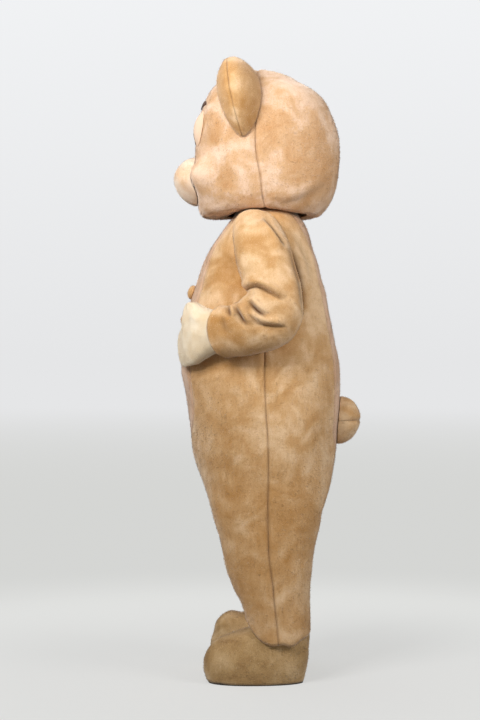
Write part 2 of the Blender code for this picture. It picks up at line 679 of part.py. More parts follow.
def make_tail(frame):
    """The ball tail in an upper and a lower half, sewn together along its middle."""
    for name, turns in (("tail_upper", (0.0, 180.0)), ("tail_lower", (180.0, 360.0))):
        place = (0.0, TAIL_HEIGHT)
        radii = (TAIL_RADIUS, TAIL_RADIUS)
        grids = lens(suit_back_at, 1, place, radii, TAIL_OUT, TAIL_RIM, (6, 11), turns, level=True)
        side = 1 if name == "tail_upper" else -1
        lifted = [grid + np.array([0.0, 0.0, side * SEAM_GAP / 2]) for grid in grids]
        make_piece(frame, name, lifted, FUR)


# ---- the head ------------------------------------------------------------------------------------


def rim_arch(angle, row):
    """How far the neck rim and the rows just above it rise over the shoulders and the back."""
    side = RIM_SIDE * np.sin(angle) ** 2
    back = RIM_BACK * np.maximum(-np.cos(angle), 0) ** 2
    return (side + back) * (1 - ease(row / RIM_FREE_ROWS))


def cheek(angle, z):
    """Outward bulge of the cheeks on both sides of the muzzle."""
    turn = (np.abs(angle) - math.radians(CHEEK_ANGLE)) / math.radians(CHEEK_SPREAD)
    return CHEEK_OUT * np.exp(-(turn**2) - ((z - CHEEK_Z) / CHEEK_TALL) ** 2)


def head_surface(angle, row):
    """The head's outer surface by angle around it and row from the neck rim to the crown."""
    half, z = HEAD.read("half", row), HEAD.read("z", row)
    front, back, side = (HEAD.read(name, row) for name in ("front", "back", "side"))
    x, y = section(angle, 0.0, half, front, back, side, HEAD_ROUNDNESS)
    bulge = cheek(angle, z)
    return stack(x + bulge * np.sin(angle), y - bulge * np.cos(angle), z + rim_arch(angle, row))


def head_rows():
    """Rows of the head's pieces, closer together around the cheeks and the muzzle."""
    close = np.arange(4, 8, 0.5)
    return np.concatenate([np.arange(0, 4), close, np.arange(8, HEAD_TOP_ROW + 1)])


def head_grids(start, end, columns):
    """Outer and inner points of a head piece between two angles, all the way up to the crown."""
    row, part = head_rows()[:, None], np.linspace(0, 1, columns)[None, :]
    angle = np.radians(start * (1 - part) + end * part) + 0 * row
    outer = head_surface(angle, row)
    slope_row = np.minimum(row, HEAD_TOP_ROW - 0.02) + 0 * part
    return [outer, outer - HEAD_WALL * normals(head_surface, angle, slope_row)]


def gather_crown(grids, shift):
    """Draws the top row into one point, moved half a seam gap off the seams that meet there."""
    crown = grids[0][-1].mean(axis=0) + np.array(shift) * SEAM_GAP
    grids[0][-1] = crown
    grids[1][-1] = crown - np.array([0.0, 0.0, HEAD_WALL])
    return grids


def make_head_shell(frame):
    """Face, and the back of the head in two halves."""
    face = gather_crown(seamed(*head_grids(-90, 90, 17)), (0, -1, 0))
    make_piece(frame, "head_face", face, FUR)
    back = gather_crown(keep_clear_of_middle(seamed(*head_grids(90, 180, 6))), (1, 1, 0))
    make_pair(frame, "head_back", back, FUR)


def head_row_at(z):
    """Row of the head table at a height above its lowest row."""
    rows = np.linspace(2, HEAD_TOP_ROW, 400)
    return np.interp(z, HEAD.read("z", rows), rows)


def head_front_at(x, z):
    """The point of the face at a sideways place and a height."""
    row = head_row_at(z)
    share = np.clip(np.abs(x) / HEAD.read("half", row), 0, 0.999)
    point = head_surface(np.arcsin(share ** (1 / HEAD_ROUNDNESS)), row)
    return point * np.stack([np.where(x < 0, -1.0, 1.0), np.ones_like(x), np.ones_like(x)], axis=-1)


def muzzle_depth(x):
    """Share of the muzzle's full depth at a sideways place: less in the groove between its lobes."""
    return 1 - GROOVE_SHARE * np.exp(-((x / GROOVE_WIDTH) ** 2))


def muzzle_grid(margin, reach_angles, turn):
    """Points of the left half of the muzzle, all drawn in by a margin."""
    reach = np.sin(reach_angles)[:, None]
    x = (MUZZLE_HALF_WIDTH - margin) * reach * np.cos(turn)[None, :]
    z = MUZZLE_Z + (MUZZLE_HALF_HEIGHT - margin) * reach * np.sin(turn)[None, :]
    dome = (MUZZLE_OUT * muzzle_depth(x) - margin) * np.cos(reach_angles)[:, None]
    points = head_front_at(x, z)
    points[..., 1] -= np.maximum(dome, LAID_GAP)
    return points


def make_muzzle(frame):
    """The two lobes of the muzzle, sewn together down the middle."""
    reach_angles = np.linspace(math.pi / 2, 0, 8)
    turn = np.radians(np.linspace(-90, 90, 13))
    outer = muzzle_grid(0.0, reach_angles, turn)
    inner = muzzle_grid(MUZZLE_WALL, reach_angles, turn)
    make_pair(frame, "muzzle", keep_clear_of_middle([outer, inner]), FUR)


def muzzle_front_at(x, z):
    """The point of the muzzle's front at a sideways place and a height."""
    reach = np.hypot(x / MUZZLE_HALF_WIDTH, (z - MUZZLE_Z) / MUZZLE_HALF_HEIGHT)
    points = head_front_at(x, z)
    points[..., 1] -= MUZZLE_OUT * muzzle_depth(x) * np.sqrt(np.clip(1 - reach**2, 0.01, 1))
    return points


def make_features(frame):
    """Nose, eyes and brows."""
    radii = (NOSE_HALF_WIDTH, NOSE_HALF_HEIGHT)
    nose = lens(muzzle_front_at, -1, (0.0, NOSE_Z), radii, NOSE_OUT, NOSE_RIM, (4, 16))
    make_piece(frame, "nose", nose, DARK, wrap=True, roughness=0.5)
    radii = (EYE_HALF_WIDTH, EYE_HALF_HEIGHT)
    eye = lens(head_front_at, -1, (EYE_X, EYE_Z), radii, EYE_OUT, EYE_RIM, (5, 16))
    make_pair(frame, "eye", eye, WHITE, wrap=True, roughness=0.4)
    radii = (BROW_HALF_WIDTH, BROW_HALF_HEIGHT)
    place = (BROW_X, BROW_Z)
    shape = {"tilt": BROW_TILT, "arch": BROW_ARCH, "gap": SMALL_GAP}
    brow = lens(head_front_at, -1, place, radii, BROW_OUT, BROW_RIM, (3, 16), **shape)
    make_pair(frame, "brow", brow, DARK, wrap=True)


# ---- ears ----------------------------------------------------------------------------------------


def ear_axes():
    """Unit vectors along the ear's length, out from the head and forward."""
    lean = math.radians(EAR_LEAN)
    out = np.array([math.cos(lean), 0.0, math.sin(lean)])
    along = np.array([-math.sin(lean), 0.0, math.cos(lean)])
    return along, out, np.array([0.0, -1.0, 0.0])


def head_reach(point):
    """Less than 1 inside the head's plain section at the point's height, and more outside it."""
    row = head_row_at(point[..., 2])
    side = HEAD.read("side", row)
    depth = np.where(point[..., 1] < side, side - HEAD.read("front", row), HEAD.read("back", row) - side)
    power = 2 / HEAD_ROUNDNESS
    half = np.maximum(HEAD.read("half", row), 1e-4)
    depth = np.maximum(depth, 1e-4)
    reach = np.abs(point[..., 0] / half) ** power + np.abs((point[..., 1] - side) / depth) ** power
    return np.where(point[..., 2] > HEAD_ROWS[-1][1], 2.0, reach)


def head_height_along(origin, direction):
    """Distance along a direction from each origin out to the head's surface."""
    low, high = np.full(origin.shape[:-1], -0.15), np.full(origin.shape[:-1], 0.15)
    for _ in range(36):
        middle = (low + high) / 2
        inside = head_reach(origin + middle[..., None] * direction) < 1
        low, high = np.where(inside, middle, low), np.where(inside, high, middle)
    return (low + high) / 2


def ear_grid(margin, steps, turns):
    """Points of the ear by step of its profile and turn from its lower end to its upper end."""
    along, out, ahead = ear_axes()
    length = (EAR_HALF_LENGTH - margin) * -np.cos(turns)[:, None]
    size = np.sin(turns)[:, None]
    forward, rise = EAR.read("forward", steps), EAR.read("out", steps)
    scale = 1 - margin / EAR.values["forward"].max()
    forward = forward * scale * size**EAR_TAPER - EAR_SWAY * np.cos(turns)[:, None]
    rise = np.maximum(rise - margin, 0) * size
    base = np.array(EAR_MIDDLE) + length[..., None] * along + forward[..., None] * ahead
    height = head_height_along(base, out) + EAR_GAP + rise
    return base + height[..., None] * out


def make_ears(frame):
    """Front and back panel of each ear, sewn together around the rim."""
    turns = np.linspace(0, math.pi, 14)
    for name, first, last, shift in (
        ("ear_front", 0, EAR_RIM_STEP, -0.5),
        ("ear_back", EAR_RIM_STEP, EAR_LAST_STEP, 0.5),
    ):
        steps = np.linspace(first, last, 5)[None, :]
        grids = [ear_grid(0.0, steps, turns), ear_grid(EAR_WALL, steps, turns)]
        rim = -1 if name == "ear_front" else 0
        for grid in grids:
            grid[:, rim, 1] += shift * SEAM_GAP
            grid[[0, -1], :, 1] += shift * SEAM_GAP
        make_pair(frame, name, grids, FUR)


# ---- mitts ---------------------------------------------------------------------------------------


def mitt_surface(turn, ring):
    """The left mitt's outer surface: turn 0 is the thumb's edge, 90 degrees the palm."""
    read = {name: MITT.read(name, ring) for name in MITT_COLUMNS[1:]}
    heading, drop = np.radians(read["turn"]), np.radians(read["drop"])
    up = stack(-np.sin(heading) * np.sin(drop), -np.cos(heading) * np.sin(drop), np.cos(drop))
    palm = stack(-np.cos(heading), np.sin(heading), 0 * heading)
    tall = np.where(np.cos(turn) > 0, read["up"], read["down"])
    rise = (tall * powered(np.cos(turn), MITT_ROUNDNESS))[..., None]
    inward = (read["thick"] * powered(np.sin(turn), MITT_ROUNDNESS))[..., None]
    return stack(read["x"], read["y"], read["z"]) + up * rise + palm * inward


def make_mitts(frame):
    """Back and palm of each mitt, with the thumb cut into both, closed at the fingers' tip."""
    rings = [0, 0.7, 1.4, 2, 2.6, 3.2, 3.8, 4.2, 4.5, 4.9, 5.5, 6.2, 6.8, 7.4, MITT_LAST_RING]
    for name, first in (("mitt_palm", 0), ("mitt_back", 180)):
        turn, ring = np.meshgrid(np.radians(np.linspace(first, first + 180, 7)), rings)
        outer = mitt_surface(turn, ring)
        inner = outer - MITT_WALL * normals(mitt_surface, turn, np.minimum(ring, MITT_LAST_RING - 0.2))
        grids = seamed(outer, inner)
        heading = math.radians(MITT_ROWS[-1][7])
        palm = np.array([-math.cos(heading), math.sin(heading), 0.0])
        tip_shift = palm * (SEAM_GAP if first == 0 else -SEAM_GAP)
        back_along = np.array([math.sin(heading), math.cos(heading), 0.0])
        grids[0][-1] = outer[-1].mean(axis=0) + tip_shift
        grids[1][-1] = grids[0][-1] + back_along * MITT_WALL
        make_pair(frame, name, grids, CREAM)


# ---- boots ---------------------------------------------------------------------------------------


def boot_surface(angle, level):
    """The left boot's outer surface."""
    x, y = section(
        angle,
        FOOT_X,
        BOOT.read("half", level),
        BOOT.read("front", level),
        BOOT.read("back", level),
        BOOT.read("side", level),
        BOOT_ROUNDNESS,
    )
    return stack(x, y, level)


def boot_grids():
    """Outer and inner points of a boot upper, open at the ankle and at the sole."""
    angle = np.radians(np.linspace(0, 360, 18, endpoint=False))
    angle, level = np.meshgrid(angle, [row[0] for row in BOOT_ROWS])
    outer = boot_surface(angle, level)
    away = normals(boot_surface, angle, level)
    away[0, :, 2], away[-1, :, 2] = 0, 0
    inner = outer - BOOT_WALL * away
    return [outer, inner]


def sole_grids():
    """Top and bottom points of a boot's flat sole."""
    angle = np.radians(np.linspace(0, 360, 28, endpoint=False))
    edge = boot_surface(angle, np.full_like(angle, BOOT_ROWS[0][0]))
    middle = np.array([FOOT_X, (edge[:, 1].min() + edge[:, 1].max()) / 2, 0.0])
    reach = edge - middle
    reach[:, 2] = 0
    edge = middle + reach * (1 + SOLE_EDGE / np.linalg.norm(reach, axis=1, keepdims=True))
    share = np.array([1.0, 0.5, 0.0])[:, None, None]
    bottom = middle + (edge - middle)[None] * share
    top = bottom + np.array([0, 0, SOLE_TOP])
    return [top, bottom]


def puffed(grid, amount):
    """Raises the instep in front of the hem by an amount, and nothing at the sole."""
    ahead = np.exp(-(((grid[..., 1] - PUFF_Y) / PUFF_LONG) ** 2))
    lift = amount * ahead * ease((grid[..., 2] - BOOT_ROWS[0][0]) / PUFF_RISE)
    return grid + lift[..., None] * np.array([0.0, 0.0, 1.0])


def stepped_back(grid, amount):
    """Moves a boot back by an amount at the sole and hardly at all at the ankle, inside its leg."""
    share = 1 - ANKLE_HOLD * ease((grid[..., 2] - ANKLE_START) / ANKLE_REACH)
    return grid + amount * share[..., None] * np.array([0.0, 1.0, 0.0])


def make_boots(frame):
    """Plush upper and thin dark sole of each boot."""
    for side in ("left", "right"):
        puff, shift = BOOT_PUFF[side], BOOT_SHIFT[side]
        for name, grids, colour in (("upper", boot_grids(), FUR_FOOT), ("sole", sole_grids(), DARK)):
            placed = mirrored(grids) if side == "right" else grids
            placed = [stepped_back(puffed(grid, puff), shift) for grid in placed]
            make_piece(frame, f"boot_{name}_{side}", placed, colour, wrap=True)


def clear_scene():
    """Removes whatever the scene holds."""
    for item in list(bpy.data.objects):
        bpy.data.objects.remove(item, do_unlink=True)


def make_costume():
    """Builds every piece under one empty at the floor below the wearer's shoulders."""
    clear_scene()
    frame = bpy.data.objects.new("costume", None)
    bpy.context.scene.collection.objects.link(frame)
    frame.location = (0.0, 0.0, -HOLD_HEIGHT)
    make_body(frame)
    make_belly_panel(frame)
    make_back_panels(frame)
    make_sleeves(frame)
    make_buttons(frame)
    make_tail(frame)
    make_head_shell(frame)
    make_muzzle(frame)
    make_features(frame)
    make_ears(frame)
    make_mitts(frame)
    make_boots(frame)


make_costume()
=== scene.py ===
import logging
import math
from dataclasses import dataclass, field, replace
from enum import Enum
from typing import Any, Callable, Sequence

import bmesh
import bpy
import numpy as np
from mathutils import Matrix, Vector


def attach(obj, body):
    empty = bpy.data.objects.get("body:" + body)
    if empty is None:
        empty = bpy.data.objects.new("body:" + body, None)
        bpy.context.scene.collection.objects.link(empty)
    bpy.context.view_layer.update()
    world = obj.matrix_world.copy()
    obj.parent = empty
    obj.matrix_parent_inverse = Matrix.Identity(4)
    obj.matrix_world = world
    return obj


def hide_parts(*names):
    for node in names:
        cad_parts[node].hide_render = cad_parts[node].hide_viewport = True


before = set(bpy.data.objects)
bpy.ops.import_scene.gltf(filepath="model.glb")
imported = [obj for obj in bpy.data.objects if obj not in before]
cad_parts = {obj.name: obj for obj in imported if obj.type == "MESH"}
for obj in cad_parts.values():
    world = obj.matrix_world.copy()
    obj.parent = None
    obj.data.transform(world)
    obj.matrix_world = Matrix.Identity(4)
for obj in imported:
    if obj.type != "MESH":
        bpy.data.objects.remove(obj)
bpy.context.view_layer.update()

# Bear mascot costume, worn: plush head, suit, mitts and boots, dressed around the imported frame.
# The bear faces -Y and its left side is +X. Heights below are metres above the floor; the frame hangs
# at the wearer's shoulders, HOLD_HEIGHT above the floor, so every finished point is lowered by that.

LOG = logging.getLogger("costume")
Points = np.ndarray
Surface = Callable[[Points, Points], Points]
Place = tuple[float, float, float]

HOLD_HEIGHT = 1.470  # wearer's shoulders above the floor
BAKE_MAP = "OFBake"
BODY = "root"
STEP = 0.0005  # step for reading a surface's slope
SEAM_GAP = 0.0003  # between two pieces sewn together
SEAM_ALLOWANCE = 0.0018  # how far a piece's inside reaches under the next one
MIDDLE_REACH = 0.012  # how far from a centre seam the cloth is drawn back to the middle
PILE_INSET = 0.0016  # how far the cloth lies below the tips of its pile
FULL_TURN = (0.0, 360.0)
FLOOR_GAP = 0.0006  # the lowest that pile reaches over the floor
FAR = 1.0  # seam distance where there is no seam
JOIN = 1e-6  # points nearer than this are one
STITCH_REACH = 0.0028  # how far a seam's dark line reaches to each side
# At a turned edge this darkens the pile and cloth right at the edge: painted shade where the edge meets the
# next part.
EDGE_HOLD = 0.0008  # seam distance right at a turned edge
LYING = (1, 1, 0)  # keeps the sideways and depth parts of a point
UP = np.array([0.0, 0.0, 1.0])


class Side(Enum):
    """The two sides of the bear."""

    LEFT = 1
    RIGHT = -1

    @property
    def word(self) -> str:
        """The side's name in a piece's name."""
        return self.name.lower()


# ---- plain maths ----


def powered(value: Points, power: float) -> Points:
    """Sines or cosines bent by a power: 1 gives an ellipse, less a squarer section."""
    return np.sign(value) * np.abs(value) ** power


def ease(value: Points) -> Points:
    """Turns 0 to 1 into 0 to 1 with a level start and end."""
    value = np.clip(value, 0, 1)
    return value * value * (3 - 2 * value)


def stack(x: Any, y: Any, z: Any) -> Points:
    """Points from three arrays of coordinates."""
    return np.stack(np.broadcast_arrays(x, y, z), axis=-1).astype(float)


def unit(vectors: Points) -> Points:
    """Vectors of length 1."""
    return vectors / np.maximum(np.linalg.norm(vectors, axis=-1, keepdims=True), 1e-12)


def bell(offset: Points, width: float) -> Points:
    """1 where the offset is 0, falling smoothly to almost nothing at two widths."""
    return np.exp(-((offset / width) ** 2))


def on_side_of(x: Points, point: Points) -> Points:
    """A point of the left half, put on the side of the middle plane that x is on."""
    return point * stack(np.where(x < 0, -1.0, 1.0), 1.0, 1.0)


def run_along(points: Points, axis: int) -> Points:
    """Distance along a grid's rows or columns of points.

    Args:
        points: Points, row by row.
        axis: 0 to run down the columns from the first row, 1 to run along the rows.

    Returns:
        Distances in metres, 0 on the first row or column.
    """
    steps = np.linalg.norm(np.diff(points, axis=axis), axis=-1)
    return np.concatenate([np.zeros_like(steps.take([0], axis)), np.cumsum(steps, axis=axis)], axis=axis)


def field_normals(base: Surface, x: Points, z: Points, facing: int) -> Points:
    """Unit normals of a field of points.

    Args:
        base: The field, by sideways place and height.
        x: Sideways places.
        z: Heights.
        facing: -1 on the front, 1 on the back.

    Returns:
        The normals, pointing away from the bear.
    """
    away = np.cross(base(x + STEP, z) - base(x - STEP, z), base(x, z + STEP) - base(x, z - STEP))
    return unit(away * np.sign(away[..., 1:2] * facing))


def section(
    angle: Points, middle: Points, half: Points, read: dict[str, Points], power: float
) -> tuple[Points, Points]:
    """A cross-section that faces -Y at angle 0 and +X at 90 degrees.

    Args:
        angle: Angle around the section.
        middle: Sideways place of its middle.
        half: Half of its width.
        read: Depths of its front, its back and its widest line, named side.
        power: Squareness, as in powered.

    Returns:
        Sideways and depth coordinates.
    """
    across, ahead = powered(np.sin(angle), power), powered(np.cos(angle), power)
    depth = np.where(ahead > 0, read["side"] - read["front"], read["back"] - read["side"])
    return middle + half * across, read["side"] - depth * ahead


def sampled(surface: Surface, angle: Points, row: Points) -> tuple[Points, Points]:
    """Points and unit outward normals of a surface given by angle and row."""
    around = surface(angle + STEP, row) - surface(angle - STEP, row)
    along = surface(angle, row + STEP) - surface(angle, row - STEP)
    return surface(angle, row), unit(np.cross(around, along))


def spread(count: int, gather: float = 0.6) -> Points:
    """Shares from 0 to 1, gathered towards both ends where the seams are."""
    even = np.linspace(0, 1, count)
    return (1 - gather) * even + gather * (1 - np.cos(np.pi * even)) / 2


class Table:
    """Rows of sizes with named columns, read smoothly between the rows by the first column."""

    def __init__(self, names: Sequence[str], rows: Sequence[Sequence[float]]) -> None:
        """Sorts the rows by their first column.

        Args:
            names: Column names, the first being what the rows are placed by.
            rows: The rows.
        """
        data = np.array(sorted(rows), dtype=float)
        self.at = data[:, 0]
        self.values = dict(zip(names[1:], data[:, 1:].T))
        self.slopes = {name: self.slopes_of(column) for name, column in self.values.items()}

    def slopes_of(self, column: Points) -> Points:
        """Slope at each row, held flat at a turning point so that the curve never overshoots.

        Args:
            column: The column's values.

        Returns:
            Their slopes.
        """
        step = np.diff(column) / np.diff(self.at)
        slopes = np.empty_like(column)
        slopes[0], slopes[-1] = step[0], step[-1]
        before, after = step[:-1], step[1:]
        mean = 2 * before * after / np.where(before + after == 0, 1, before + after)
        slopes[1:-1] = np.where(before * after > 0, mean, 0)
        return slopes

    def all(self, at: Any) -> dict[str, Points]:
        """Every column's values, by name."""
        return {name: self.read(name, at) for name in self.values}

    def read(self, name: str, at: Any) -> Points:
        """Value of one column anywhere between the table's ends.

        Args:
            name: The column.
            at: Heights or row numbers.

        Returns:
            The column's values there.
        """
        at = np.clip(np.asarray(at, dtype=float), self.at[0], self.at[-1])
        low = np.clip(np.searchsorted(self.at, at, side="right") - 1, 0, len(self.at) - 2)
        width = self.at[low + 1] - self.at[low]
        part = (at - self.at[low]) / width
        column, slopes = self.values[name], self.slopes[name]
        rise = column[low + 1] - column[low]
        start, end = slopes[low] * width, slopes[low + 1] * width
        bend = 3 * rise - 2 * start - end
        twist = start + end - 2 * rise
        return column[low] + part * (start + part * (bend + part * twist))


class SoftNoise:
    """A smooth random field over space, made of a few slanted waves from one seed."""

    def __init__(self, size: float, seed: int, waves: int = 14) -> None:
        """Draws the waves.

        Args:
            size: Rough size of its blotches, in metres.
            seed: Seed of its draws.
            waves: How many waves are summed.
        """
        draw = np.random.default_rng(seed)
        heading = unit(draw.normal(size=(waves, 3)))
        self.pitch = heading * (2 * np.pi / size) * draw.uniform(0.55, 1.25, (waves, 1)) / 2
        self.phase = draw.uniform(0, 2 * np.pi, waves)
        self.scale = math.sqrt(2 / waves)

    def at(self, points: Points) -> Points:
        """Values of about -1.5 to 1.5 at points."""
        return np.sin(points @ self.pitch.T + self.phase).sum(axis=-1) * self.scale


# ---- the forms, from the same named sizes as the solids ----


@dataclass(frozen=True)
class SuitForm:
    """The one-piece suit's outer surface: its left half, a leg below the crotch and half a body above."""

    rows: Table
    roundness: float = 0.90
    crotch: float = 0.5275
    hem: float = 0.1500
    neck: float = 1.5100
    hem_free: float = 0.1700
    hem_front: float = 0.034
    hem_outside: float = -0.025
    hem_inside: float = -0.004
    hem_back: float = 0.002
    belly_bottom: float = 0.765
    belly_full: float = 0.900
    belly_turn: tuple[float, float] = (27.0, 30.0)
    back_bottom: float = 0.700
    back_full: float = 0.800
    back_turn: tuple[float, float] = (25.0, 46.0)
    armhole_middle: float = 1.3420
    armhole_half: float = 0.1220
    armhole_wide: float = 27.5
    armhole_slant: float = 10.0
    armhole_power: float = 0.80
    seam_swing: float = 0.130
    row_step: float = 0.0110
    foot_share: float = 0.12
    foot_rows: int = 16
    shoulder_rows: int = 9

    def hem_rise(self, angle: Points) -> Points:
        """How far the hem stands above its level: highest in front, lowest at the side seam."""
        ahead, out = np.cos(angle), np.sin(angle)
        rises = (
            (self.hem_front, ahead), (self.hem_back, -ahead), (self.hem_outside, out), (self.hem_inside, -out)
        )
        return sum(rise * np.maximum(way, 0) ** 2 for rise, way in rises)

    def surface(self, angle: Points, level: Points) -> Points:
        """Points by angle around the section and height.

        Args:
            angle: Angles, 0 in front.
            level: Heights.

        Returns:
            The points.
        """
        read = self.rows.all(level)
        middle, half = (read["outer"] + read["inner"]) / 2, (read["outer"] - read["inner"]) / 2
        x, y = section(angle, middle, half, read, self.roundness)
        fade = 1 - ease((level - self.hem) / self.hem_free)
        return stack(x, y, level + self.hem_rise(angle) * fade)

    def centre(self, level: Points) -> Points:
        """Angle at which the left half starts: 0 on the body, back to the inner leg at the crotch."""
        outer, inner = self.rows.read("outer", level), self.rows.read("inner", level)
        share = np.clip((outer + inner) / np.maximum(outer - inner, 1e-9), 0, 1)
        return np.where(level <= self.crotch, -math.pi / 2, -np.arcsin(share ** (1 / self.roundness)))

    def panel(self, level: Points, bottom: float, full: float, turn: tuple[float, float]) -> Points:
        """Half width of a centre panel, round at its foot and wider at the neck.

        Args:
            level: Heights.
            bottom: Height of its foot.
            full: Height at which it has its full width.
            turn: Its half width in degrees, on the body and at the neck.

        Returns:
            Half widths in radians.
        """
        rise = np.clip((level - bottom) / (full - bottom), 0, 1)
        widen = ease((level - self.armhole_middle) / (self.neck - self.armhole_middle))
        return np.radians(turn[0] + (turn[1] - turn[0]) * widen) * np.sqrt(1 - (1 - rise) ** 2)

    def seam(self, level: Points) -> Points:
        """Angle of the side seam, swinging back under the arm and forward at the shoulder."""
        below = self.armhole_middle - self.armhole_half
        swing = ease((level - below + self.seam_swing) / self.seam_swing)
        across = np.clip((level - self.armhole_middle) / self.armhole_half, -1, 1)
        return np.radians(90 - self.armhole_slant * across * swing)

    def armhole(self, level: Points) -> Points:
        """Half the width of the armhole at a level, 0 above and below it."""
        across = np.clip(np.abs(level - self.armhole_middle) / self.armhole_half, 0, 1)
        power = self.armhole_power
        return np.radians(self.armhole_wide) * (1 - across ** (2 / power)) ** (power / 2)

    def armhole_levels(self, count: int = 60) -> Points:
        """Heights of the rows across the armhole, closer together at its ends."""
        turn = np.pi * np.arange(count + 1) / count
        return self.armhole_middle - self.armhole_half * np.cos(turn)

    def levels(self, bottom: float) -> Points:
        """Heights of a panel's rows from a height up to the neck.

        Args:
            bottom: The lowest height.

        Returns:
            The heights.
        """
        low = self.armhole_middle - self.armhole_half
        below = np.linspace(bottom, low, max(int((low - bottom) / self.row_step), 2))[:-1]
        foot = bottom + (low - bottom) * self.foot_share * spread(self.foot_rows, 1.0)[1:-1] ** 2
        if bottom <= self.hem:
            foot = np.empty(0)
            below = np.unique(np.append(below, [self.crotch - STEP, self.crotch + STEP]))
        high = np.linspace(self.armhole_middle + self.armhole_half, self.neck, self.shoulder_rows)[1:]
        return np.concatenate([np.unique(np.concatenate([below, foot])), self.armhole_levels(), high])

    def front_start(self, level: Points) -> Points:
        """Angle of the front panel's seam to the belly."""
        return self.centre(level) + self.panel(level, self.belly_bottom, self.belly_full, self.belly_turn)

    def front_end(self, level: Points) -> Points:
        """Angle of the front panel's side seam and armhole."""
        return self.seam(level) - self.armhole(level)

    def back_start(self, level: Points) -> Points:
        """Angle of the back panel's side seam and armhole."""
        return self.seam(level) + self.armhole(level)

    def back_end(self, level: Points) -> Points:
        """Angle of the back panel's seam to the centre back panel."""
        return self.middle_back(level) - self.panel(level, self.back_bottom, self.back_full, self.back_turn)

    def middle_back(self, level: Points) -> Points:
        """Angle of the centre back."""
        return math.pi - self.centre(level)

    def on_front(self, x: Points, z: Points) -> Points:
        """The suit's front at a sideways place and a height."""
        return self.on_side(x, z, 0.0)

    def on_back(self, x: Points, z: Points) -> Points:
        """The suit's back at a sideways place and a height."""
        return self.on_side(x, z, math.pi)

    def on_side(self, x: Points, z: Points, turned: float) -> Points:
        """The suit's front (turned 0) or back (turned pi) at a sideways place and a height."""
        share = np.clip(np.abs(x) / self.rows.read("outer", z), 0, 0.999)
        angle = np.arcsin(share ** (1 / self.roundness))
        return on_side_of(x, self.surface(turned - angle if turned else angle, z))


SUIT = SuitForm(
    Table(
        ("level", "outer", "inner", "front", "back", "side"),
        (
            (1.51, 0.086, -0.086, -0.088, 0.09, -0.015),
            (1.49, 0.1, -0.1, -0.092, 0.092, -0.015),
            (1.475, 0.144, -0.144, -0.099, 0.09, -0.015),
            (1.461, 0.171, -0.171, -0.109, 0.096, -0.015),
            (1.448, 0.186, -0.186, -0.118, 0.106, -0.015),
            (1.425, 0.197, -0.197, -0.137, 0.12, -0.015),
            (1.404, 0.203, -0.203, -0.152, 0.129, -0.015),
            (1.359, 0.209, -0.209, -0.184, 0.142, -0.015),
            (1.31, 0.212, -0.212, -0.208, 0.16, -0.015),
            (1.259, 0.215, -0.215, -0.225, 0.172, -0.015),
            (1.218, 0.219, -0.219, -0.237, 0.184, -0.015),
            (1.154, 0.227, -0.227, -0.255, 0.195, -0.015),
            (1.054, 0.246, -0.246, -0.27, 0.213, -0.016),
            (0.971, 0.264, -0.264, -0.278, 0.2265, -0.016),
            (0.901, 0.272, -0.272, -0.266, 0.229, -0.014),
            (0.824, 0.273, -0.273, -0.254, 0.227, -0.01),
            (0.773, 0.27, -0.268, -0.246, 0.222, -0.006),
            (0.718, 0.266, -0.257, -0.2395, 0.217, -0.004),
            (0.665, 0.26, -0.215, -0.225, 0.208, -0.0035),
            (0.61, 0.254, -0.132, -0.205, 0.195, -0.004),
            (0.57, 0.25, -0.056, -0.192, 0.181, -0.005),
            (0.542, 0.247, -0.012, -0.184, 0.171, -0.005),
            (0.52, 0.245, 0.006, -0.178, 0.164, -0.005),
            (0.498, 0.243, 0.011, -0.172, 0.162, -0.0045),
            (0.441, 0.24, 0.015, -0.152, 0.15, -0.003),
            (0.391, 0.237, 0.018, -0.142, 0.1415, -0.001),
            (0.3475, 0.235, 0.022, -0.133, 0.137, 0.005),
            (0.313, 0.234, 0.027, -0.12, 0.1325, 0.01),
            (0.273, 0.233, 0.033, -0.107, 0.13, 0.014),
            (0.239, 0.233, 0.04, -0.093, 0.129, 0.018),
            (0.206, 0.233, 0.045, -0.084, 0.129, 0.023),
            (0.15, 0.234, 0.05, -0.072, 0.128, 0.028),
        ),
    )
)


@dataclass(frozen=True)
class SleeveForm:
    """The left sleeve: rings from the armhole over the bent elbow to the open cuff."""

    rows: Table
    roundness: float = 0.88

    def surface(self, angle: Points, ring: Points) -> Points:
        """Points by angle (0 the elbow's outside, 90 degrees away from the body) and ring.

        Args:
            angle: Angles.
            ring: Rings, 1 at the armhole.

        Returns:
            The points.
        """
        away, out = powered(np.cos(angle), self.roundness), powered(np.sin(angle), self.roundness)
        read = self.rows.all(ring)
        return stack(
            read["x"] + read["side_x"] * out,
            read["y"] + read["bend_y"] * away + read["side_y"] * out,
            read["z"] + read["bend_z"] * away + read["side_z"] * out,
        )

    def root(self, suit: SuitForm) -> tuple[Points, Points]:
        """Points of the armhole's edge in order, and their angles around the sleeve.

        Args:
            suit: The suit it is sewn to.

        Returns:
            The points and their angles.
        """
        levels = suit.armhole_levels()
        front, back = suit.front_end(levels)[::-1], suit.back_start(levels)[1:-1]
        angle, level = np.concatenate([back, front]), np.concatenate([levels[1:-1], levels[::-1]])
        across = (level - suit.armhole_middle) / suit.armhole_half
        ahead = (angle - suit.seam(level)) / np.radians(suit.armhole_wide)
        power = 1 / self.roundness
        return suit.surface(angle, level), np.arctan2(powered(across, power), powered(ahead, power))


